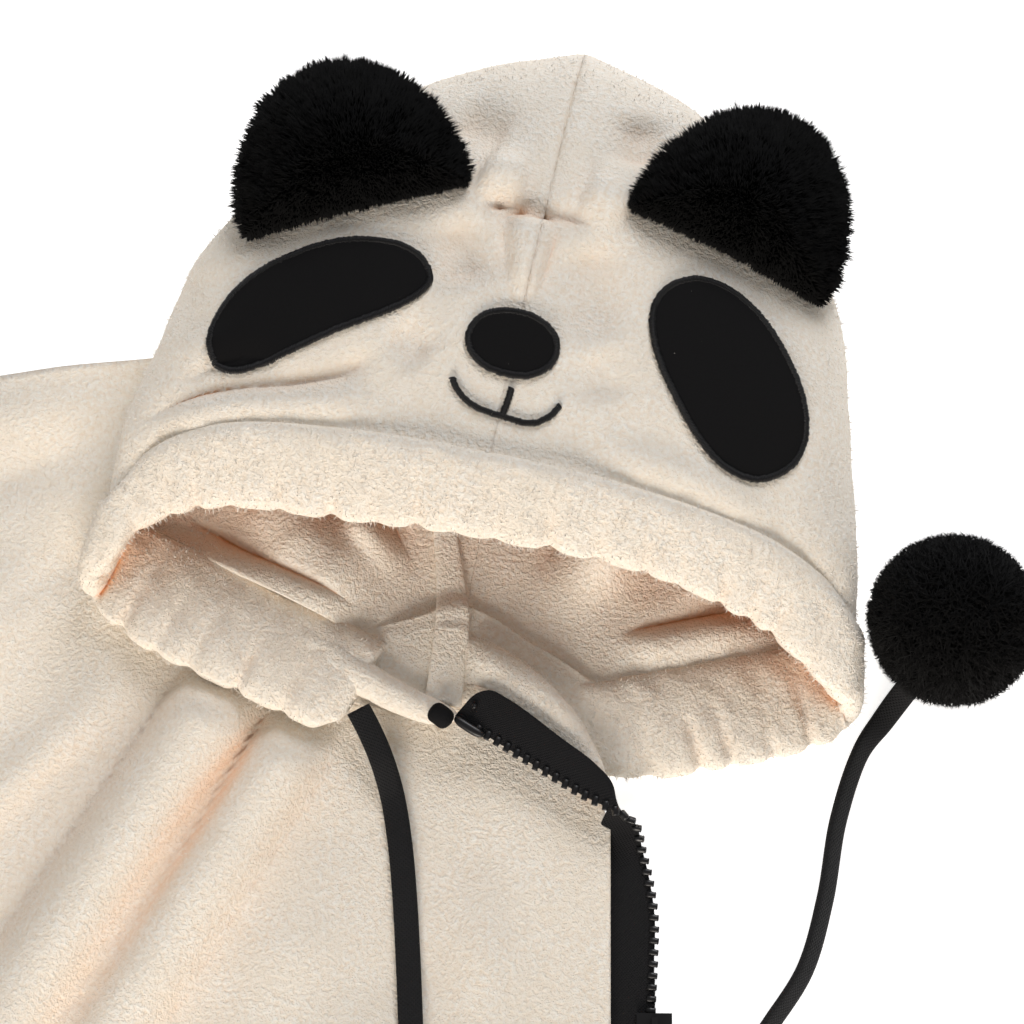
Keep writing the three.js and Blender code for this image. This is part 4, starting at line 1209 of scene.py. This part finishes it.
def patch(name, middle, *form):
    outline = bean(middle, *form, 160)
    shares = np.array([0.04, 0.15, 0.3, 0.45, 0.6, 0.75, 0.87, 0.95, 1.0])
    plan = np.concatenate([mix(np.array(middle), outline, s) for s in shares])
    lower, normals = lay_on(hood_tree, plan, 0.15)
    size = len(outline)
    thick = np.repeat(np.where(shares < 0.99, APPLIQUE, APPLIQUE * 0.55), size)[:, None]
    upper = lower + normals * thick
    rings = np.concatenate([upper.reshape(len(shares), size, 3),
                            lower.reshape(len(shares), size, 3)[::-1]])
    points, faces = tube(rings)
    piece = add_piece(f"{name}_twill", points, faces, applique_twill)
    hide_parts(name)
    edge_plan = bean(middle, *form, 900)
    length = np.linalg.norm(np.diff(np.vstack([edge_plan, edge_plan[:1]]), axis=0), axis=1)
    run = np.concatenate([[0], np.cumsum(length)])
    stations = np.arange(0, run[-1], 0.5)
    closed = np.vstack([edge_plan, edge_plan[:1]])
    even = np.stack([np.interp(stations, run, closed[:, i]) for i in (0, 1)], axis=1)
    inwards = unit(np.array(middle) - even)
    line, line_normals = lay_on(hood_tree, even + inwards * 0.5, 0.5)
    thread, thread_faces = satin(line, line_normals, 2.1, 0.5, 0.9, len(name))
    rim = add_piece(f"{name}_satin_edge", thread, thread_faces, satin_thread)
    return piece, rim


face_pieces = [patch(*row) for row in PATCHES]

# %% [markdown]
# ### The mouth
#
# A smile of satin stitch, 1.9 mm wide, with a short upright below the nose. Its route is
# dropped onto the cloth so the thread follows the dips of the fleece.

# %% The embroidered mouth
MOUTH = [
    ("smile", [(-15.8, 40.2), (-13.8, 37.2), (-9.5, 33.9), (-4.0, 32.3), (1.0, 31.8), (6.0, 31.3),
               (10.8, 31.9), (14.6, 34.6), (17.2, 38.4)]),
    ("upright", [(2.0, 40.6), (1.7, 36.6), (1.0, 32.2)]),
]
mouth_points, mouth_faces = [], []
for index, (_, knots) in enumerate(MOUTH):
    plan = even_steps(route(knots), 0.45)[0][:, :2]
    line, line_normals = lay_on(hood_tree, plan, 0.25)
    thread, (quads, caps) = satin(line, line_normals, 1.9, 0.45, 1.0, 40 + index)
    offset = sum(len(p) for p in mouth_points)
    mouth_points.append(thread)
    mouth_faces.append((quads + offset, caps + offset))
mouth = add_piece("mouth_satin_stitch", np.vstack(mouth_points),
                  [np.vstack([f[0] for f in mouth_faces]), np.vstack([f[1] for f in mouth_faces])],
                  satin_thread)

# %% [markdown]
# ## The ears
#
# Each ear is two half ovals of long plush sewn together, stuffed, and set into the hood along
# a straight base. The body of the ear is a soft cushion, thick in the middle and thin at its
# rim. The pile, about 3 to 6 mm long, stands on it and leans outwards in tufts, so that the outline
# is broken into short dark points.

# %% The ears, with their pile
EAR_THICK = 16
EAR_EDGE = 5
EAR_DROOP = 0.28
EAR_SEAT = 1.2
EAR_HEIGHT = 54
EARS = [
    ("ear_right", (-86.5, 73), (-25, 101), 51),
    ("ear_left", (26, 104), (87, 90), 52),
]
PILE_COUNT = 25000


def ear(name, start, end, seed):
    start, end = np.array(start, float), np.array(end, float)
    half_base = np.hypot(*(end - start)) / 2 + 2
    middle = (start + end) / 2
    along = (end - start) / np.hypot(*(end - start))
    away = np.array([-along[1], along[0]])
    sewn = [drop(hood_tree, *place)[0][2] for place in (start, middle, end)]
    t = np.linspace(0, np.pi, 70)
    arc = np.stack([half_base * np.cos(t), EAR_HEIGHT * np.sin(t) ** 0.92], axis=1)
    foot = np.stack([np.linspace(-half_base, half_base, 32)[1:-1], np.zeros(30)], axis=1)
    outline = np.vstack([arc, foot])
    centre = np.array([0, EAR_HEIGHT * 0.42])
    inset = 2.2
    shrink = 1 - inset / np.linalg.norm(outline - centre, axis=1)
    outline = centre + (outline - centre) * shrink[:, None]
    shares = np.array([0.03, 0.12, 0.24, 0.36, 0.48, 0.6, 0.7, 0.79, 0.87, 0.94, 1.0])

    def placed(local, share, side):
        p, q = local[:, 0], local[:, 1]
        k = np.clip((p / half_base + 1) / 2, 0, 1)
        base = (sewn[0] * (1 - k) * (1 - 2 * k) + sewn[1] * 4 * k * (1 - k)
                + sewn[2] * k * (2 * k - 1))
        plan = middle + along * p[:, None] + away * q[:, None]
        thick = mix(EAR_THICK, EAR_EDGE, share ** 2.4) - 2.2
        z = base + EAR_SEAT - EAR_DROOP * q + 0.6 + side * thick
        return np.column_stack([plan, z])

    rings = [placed(mix(centre, outline, s), s, 1) for s in shares]
    rings += [placed(mix(centre, outline, s), s, 0) for s in shares[::-1]]
    rings = np.array(rings)
    core, core_faces = tube(rings)
    rng = np.random.default_rng(seed)
    tris = np.vstack([core_faces[0][:, [0, 1, 2]], core_faces[0][:, [0, 2, 3]], core_faces[1]])
    roots, normals = scatter(core, tris, PILE_COUNT, rng)
    centre_xyz = core.mean(0)
    outwards = unit(roots - centre_xyz)
    q = (roots[:, :2] - middle) @ away
    swirl = np.stack([waves(roots, seed + i, 9) for i in range(3)], axis=1)
    lean = unit(normals + 0.45 * outwards + 0.35 * swirl + 0.22 * rng.normal(size=roots.shape))
    length = 4.6 * (1 + 0.3 * waves(roots, seed + 9, 5)) * rng.uniform(0.75, 1.1, PILE_COUNT)
    length *= mix(0.45, 1.0, smooth(q / 9))
    tips = roots + lean * length[:, None]
    foot_cut = (tips[:, :2] - middle) @ away
    tips[:, :2] += np.maximum(-1.0 - foot_cut, 0)[:, None] * away
    tuft, tuft_faces = spikes(roots - normals * 0.4, tips, rng.uniform(0.65, 1.2, PILE_COUNT))
    points = np.vstack([core, tuft])
    piece = add_piece(f"{name}_plush", points, [core_faces[0], core_faces[1], tuft_faces + len(core)],
                      plush)
    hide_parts(name)
    return piece


for row in EARS:
    ear(*row)

# %% [markdown]
# ## The zip
#
# A chunky moulded zip closes the front. Each black tape is sewn under the fleece and carries
# a row of teeth, one every 3.5 mm. Below the slider the two rows mesh; above it the right
# tape turns back with its corner of cloth and its teeth show. Slider and pull keep their
# measured solids and get the moulded finish.

# %% Tapes with rounded edges
TAPE_THICK = 0.9
TAPE_CORNER = 6.0
TAPE_RIGHT = [
    ((160, -588, 6.75), (176, -585, 6.75)),
    ((112, -358, 6.75), (128, -355, 6.75)),
    ((73.5, -170, 6.75), (89.5, -167, 6.75)),
    ((65.5, -133, 6.75), (81, -130, 6.75)),
    ((61, -112, 6.75), (78, -111, 6.75)),
    ((57, -101, 6.75), (75.8, -99, 6.8)),
    ((51.5, -90, 6.75), (72, -88, 7)),
    ((52, -81, 6.75), (68, -79.5, 8.3)),
    ((54.2, -73.5, 10), (64.5, -73, 12)),
    ((55.5, -64, 19.2), (56.8, -71, 18)),
    ((49, -58.5, 19.2), (47.5, -68.5, 17.5)),
    ((36.5, -52.5, 19.2), (34.5, -63.8, 17.2)),
    ((23, -46, 19), (19, -58, 16.8)),
    ((10.5, -41.5, 18.6), (4.3, -52.6, 16.2)),
]
TAPE_LEFT = [
    ((160, -588, 5.55), (176, -585, 5.55)),
    ((112, -358, 5.55), (128, -355, 5.55)),
    ((73.5, -170, 5.55), (89.5, -167, 5.55)),
    ((65.5, -133, 5.55), (81, -130, 5.55)),
    ((61, -112, 5.55), (76.5, -111, 5.55)),
    ((53.5, -78, 5.55), (62, -79, 5.55)),
]


def tape(name, rows, count, replaced):
    sewn = route([row[0] for row in rows])
    teeth = route([row[1] for row in rows])
    k = np.linspace(0, 1, count)
    a, b = sewn(k), teeth(k)
    run = sewn(k + 1e-3) - sewn(k - 1e-3) + teeth(k + 1e-3) - teeth(k - 1e-3)
    up = unit(np.cross(b - a, run))
    left = np.linalg.norm(b[-1] - b, axis=1)
    corner_cut = TAPE_CORNER * (1 - np.sqrt(1 - np.clip(1 - left / TAPE_CORNER, 0, 1) ** 2))
    a = a + unit(b - a) * np.minimum(corner_cut, TAPE_CORNER * 0.9)[:, None]
    turn = np.linspace(0, 2 * np.pi, 28, endpoint=False)
    across = (1 - np.sign(np.cos(turn)) * np.abs(np.cos(turn)) ** 0.35) / 2
    rise = np.sign(np.sin(turn)) * np.abs(np.sin(turn)) ** 0.5 * TAPE_THICK / 2
    rings = (a[:, None] + (b - a)[:, None] * across[None, :, None]
             + up[:, None] * rise[None, :, None])
    points, faces = tube(rings)
    length = np.concatenate([[0], np.cumsum(np.linalg.norm(np.diff(b, axis=0), axis=1))])
    wide = np.linalg.norm(b - a, axis=1)
    uv = np.stack([np.repeat(length, 28), (wide[:, None] * across[None]).ravel()], axis=1)
    uv = np.vstack([uv, [0, 0], [length[-1], 0]])
    piece = add_piece(name, points, faces, tape_weave, uv=uv)
    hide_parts(replaced)
    return piece


tape_right = tape("zip_tape_right_woven", TAPE_RIGHT, 320, "zip_tape_right")
tape_left = tape("zip_tape_left_woven", TAPE_LEFT, 200, "zip_tape_left")

# %% The moulded teeth
TOOTH_PITCH = 3.47
TOOTH_LONG = 3.0
TOOTH_WIDE = 2.1
TOOTH_HIGH = 2.3


def tooth_block():
    """One tooth about the origin: X along the zip, Y out of the tape, Z up, with soft edges."""
    sections = [(-0.5, 0.75, 0.7), (-0.42, 0.95, 0.95), (0.0, 1.0, 1.0), (0.3, 0.82, 1.0),
                (0.42, 0.95, 0.95), (0.5, 0.7, 0.6)]
    turn = np.linspace(0, 2 * np.pi, 8, endpoint=False) + np.pi / 8
    rings = []
    for y, wide, high in sections:
        x = np.sign(np.cos(turn)) * np.abs(np.cos(turn)) ** 0.5 * TOOTH_WIDE / 2 * wide
        z = np.sign(np.sin(turn)) * np.abs(np.sin(turn)) ** 0.5 * TOOTH_HIGH / 2 * high
        rings.append(np.column_stack([x, np.full(len(x), y * TOOTH_LONG), z]))
    return tube(np.array(rings))


def row_of_teeth(name, rows, shift):
    sewn = route([row[0] for row in rows])
    teeth = route([row[1] for row in rows])
    fine = np.linspace(0, 1, 4000)
    run = np.concatenate([[0], np.cumsum(np.linalg.norm(np.diff(teeth(fine), axis=0), axis=1))])
    stations = np.arange(4 + shift, run[-1] - 6, TOOTH_PITCH)
    k = np.interp(stations, run, fine)
    place = teeth(k)
    outward = unit(place - sewn(k))
    along = unit(teeth(k + 1e-3) - teeth(k - 1e-3))
    along = unit(along - outward * np.sum(along * outward, axis=1, keepdims=True))
    up = np.cross(along, outward)
    block, (sides, caps) = tooth_block()
    middle = place - outward * 0.3
    points = (middle[:, None] + along[:, None] * block[None, :, :1]
              + outward[:, None] * block[None, :, 1:2] + up[:, None] * block[None, :, 2:])
    offset = np.arange(len(k))[:, None, None] * len(block)
    faces = [(part[None] + offset).reshape(-1, part.shape[1]) for part in (sides, caps)]
    piece = add_piece(name, points.reshape(-1, 3), faces, plastic)
    print(name, len(k), "teeth")
    return piece


teeth_right = row_of_teeth("zip_teeth_right", TAPE_RIGHT, 0.0)
teeth_left = row_of_teeth("zip_teeth_left", TAPE_LEFT, TOOTH_PITCH / 2)

# %% [markdown]
# ### The zip's top end
#
# A smooth moulded bar closes the row of teeth, and the end of the other tape is folded into a
# small round knob that sits beside it. A small moulded pin shows as a dot on the tape.

# %% End bar, knob and pin
def moulded_bean(points_along, radius, flatness):
    places, along = even_steps(route(points_along), 0.4)
    share = np.linspace(-1, 1, len(places))
    size = radius * np.sqrt(np.clip(1 - share ** 4, 0.02, 1))
    across = unit(np.cross(np.array([0, 0, 1.0]), along))
    up = np.cross(along, across)
    turn = np.linspace(0, 2 * np.pi, 24, endpoint=False)
    rings = (places[:, None] + across[:, None] * (np.cos(turn)[:, None] * size[:, None, None])
             + up[:, None] * (np.sin(turn)[:, None] * size[:, None, None] * flatness))
    return tube(rings)


bar_points, bar_faces = moulded_bean([(4.4, -53.2, 17.4), (9, -55.2, 17.8), (14.2, -57, 18)], 1.5, 0.8)
end_bar = add_piece("zip_end_bar", bar_points, bar_faces, plastic)
knob_points, knob_faces = moulded_bean([(-3.4, -51.8, 16.4), (0.2, -53.4, 17), (3.6, -55.2, 16.4)],
                                       3.3, 0.85)
end_knob = add_piece("zip_end_knob", knob_points, knob_faces, braid_knob)
pin_points, pin_faces = ball(0.9, 12, 16)
end_pin = add_piece("zip_end_pin", pin_points + [9.6, -48.8, 18.6], pin_faces, plastic)

for node_name in ("zip_slider", "zip_pull"):
    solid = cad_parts[node_name].data
    solid.materials.clear()
    solid.materials.append(plastic)

# %% [markdown]
# ## Loose fibres on the rolled edges
#
# Where the fleece rolls over an edge its pile opens, and single fibres show against what lies
# behind. They are slim spikes again, 1 to 2 mm long, scattered over the hem, the turned-back
# corner, the rim of the hood and the ridges of the two big folds.

# %% Fibres on the edges
def loose_fibres(name, points, faces, count, seed, length, weight=None):
    rng = np.random.default_rng(seed)
    quads = faces[0] if isinstance(faces, list) else faces
    roots, normals = scatter(points, quads, count, rng, weight)
    comb = np.stack([waves(roots, seed + i, 12) for i in range(3)], axis=1)
    lean = unit(normals + 0.5 * comb + 0.35 * rng.normal(size=roots.shape))
    tips = roots + lean * (length * rng.uniform(0.6, 1.25, count))[:, None]
    tips[:, 2] = np.maximum(tips[:, 2], 0.1)
    spike_points, spike_faces = spikes(roots - normals * 0.15, tips, rng.uniform(0.22, 0.42, count))
    return add_piece(name, spike_points, spike_faces, fleece_fibre)


def hood_rim(places):
    return 0.02 + (np.hypot(places[:, 0], (places[:, 1] - 45) * 0.95) > 96)


def on_ridges(places):
    steep = fold_height(places[:, 0], places[:, 1]) > 3
    return (steep & (places[:, 1] > -240)).astype(float) + 1e-6


fibres_hem = loose_fibres("fibres_on_hem", casing_points, casing_faces, 9000, 61, 1.7)
fibres_corner = loose_fibres("fibres_on_corner", corner_points, corner_faces, 1500, 62, 1.4)
fibres_right = loose_fibres("fibres_on_hood_right", right_points, right_faces, 3500, 63, 1.5,
                            hood_rim)
fibres_left = loose_fibres("fibres_on_hood_left", left_points, left_faces, 3500, 64, 1.5,
                           hood_rim)
fibres_cape = loose_fibres("fibres_on_cape", cape_points, cape_faces, 3000, 65, 1.4, on_ridges)

# %% [markdown]
# ## Floor and light
#
# The garment lies on a plain white table under two large, soft lights. One stands above and
# beyond the crown and gives the soft shade under the hem. The other stands low in front and
# reaches into the opening. A white surrounding keeps the shadows open.

# %% Floor, lights and tone
floor_material, _, floor_shader = new_material("white_table")
floor_shader.inputs["Base Color"].default_value = colour("#fbfbfb")
floor_shader.inputs["Roughness"].default_value = 0.9
floor_shader.inputs["Emission Color"].default_value = colour("#ffffff")
floor_shader.inputs["Emission Strength"].default_value = 0.7
floor_mesh = bpy.data.meshes.new("floor")
FLOOR_HALF = 6.0
FLOOR_Z = -0.0004
floor_mesh.from_pydata([(-FLOOR_HALF, -FLOOR_HALF, FLOOR_Z), (FLOOR_HALF, -FLOOR_HALF, FLOOR_Z),
                        (FLOOR_HALF, FLOOR_HALF, FLOOR_Z), (-FLOOR_HALF, FLOOR_HALF, FLOOR_Z)],
                       [], [(0, 1, 2, 3)])
floor_mesh.materials.append(floor_material)
floor = bpy.data.objects.new("floor", floor_mesh)
bpy.context.scene.collection.objects.link(floor)


def soft_box(name, place, aim, size, power, tint):
    data = bpy.data.lights.new(name, "AREA")
    data.shape = "RECTANGLE"
    data.size, data.size_y = size
    data.energy = power
    data.color = colour(tint)[:3]
    light = bpy.data.objects.new(name, data)
    light.location = place
    light.rotation_euler = (Vector(place) - Vector(aim)).to_track_quat("Z", "Y").to_euler()
    bpy.context.scene.collection.objects.link(light)
    return light


AIM = (0.19, 0.24, 0.0)
soft_box("key", (0.32, 1.45, 0.92), AIM, (0.75, 0.75), 13.5, "#fafbff")
soft_box("fill", (0.19, -1.2, 0.56), AIM, (1.2, 0.6), 24, "#fff6ec")

world = bpy.data.worlds.new("studio")
bpy.context.scene.world = world
world.use_nodes = True
world.node_tree.nodes["Background"].inputs["Color"].default_value = colour("#fffdfb")
world.node_tree.nodes["Background"].inputs["Strength"].default_value = 0.22
bpy.context.scene.view_settings.view_transform = "Standard"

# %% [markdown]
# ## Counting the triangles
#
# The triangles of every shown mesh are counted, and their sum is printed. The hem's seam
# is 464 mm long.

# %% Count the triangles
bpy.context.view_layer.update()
triangles = {o.name: sum(len(p.vertices) - 2 for p in o.data.polygons)
             for o in bpy.context.scene.objects if o.type == "MESH" and not o.hide_render}
print("triangles in all:", sum(triangles.values()))
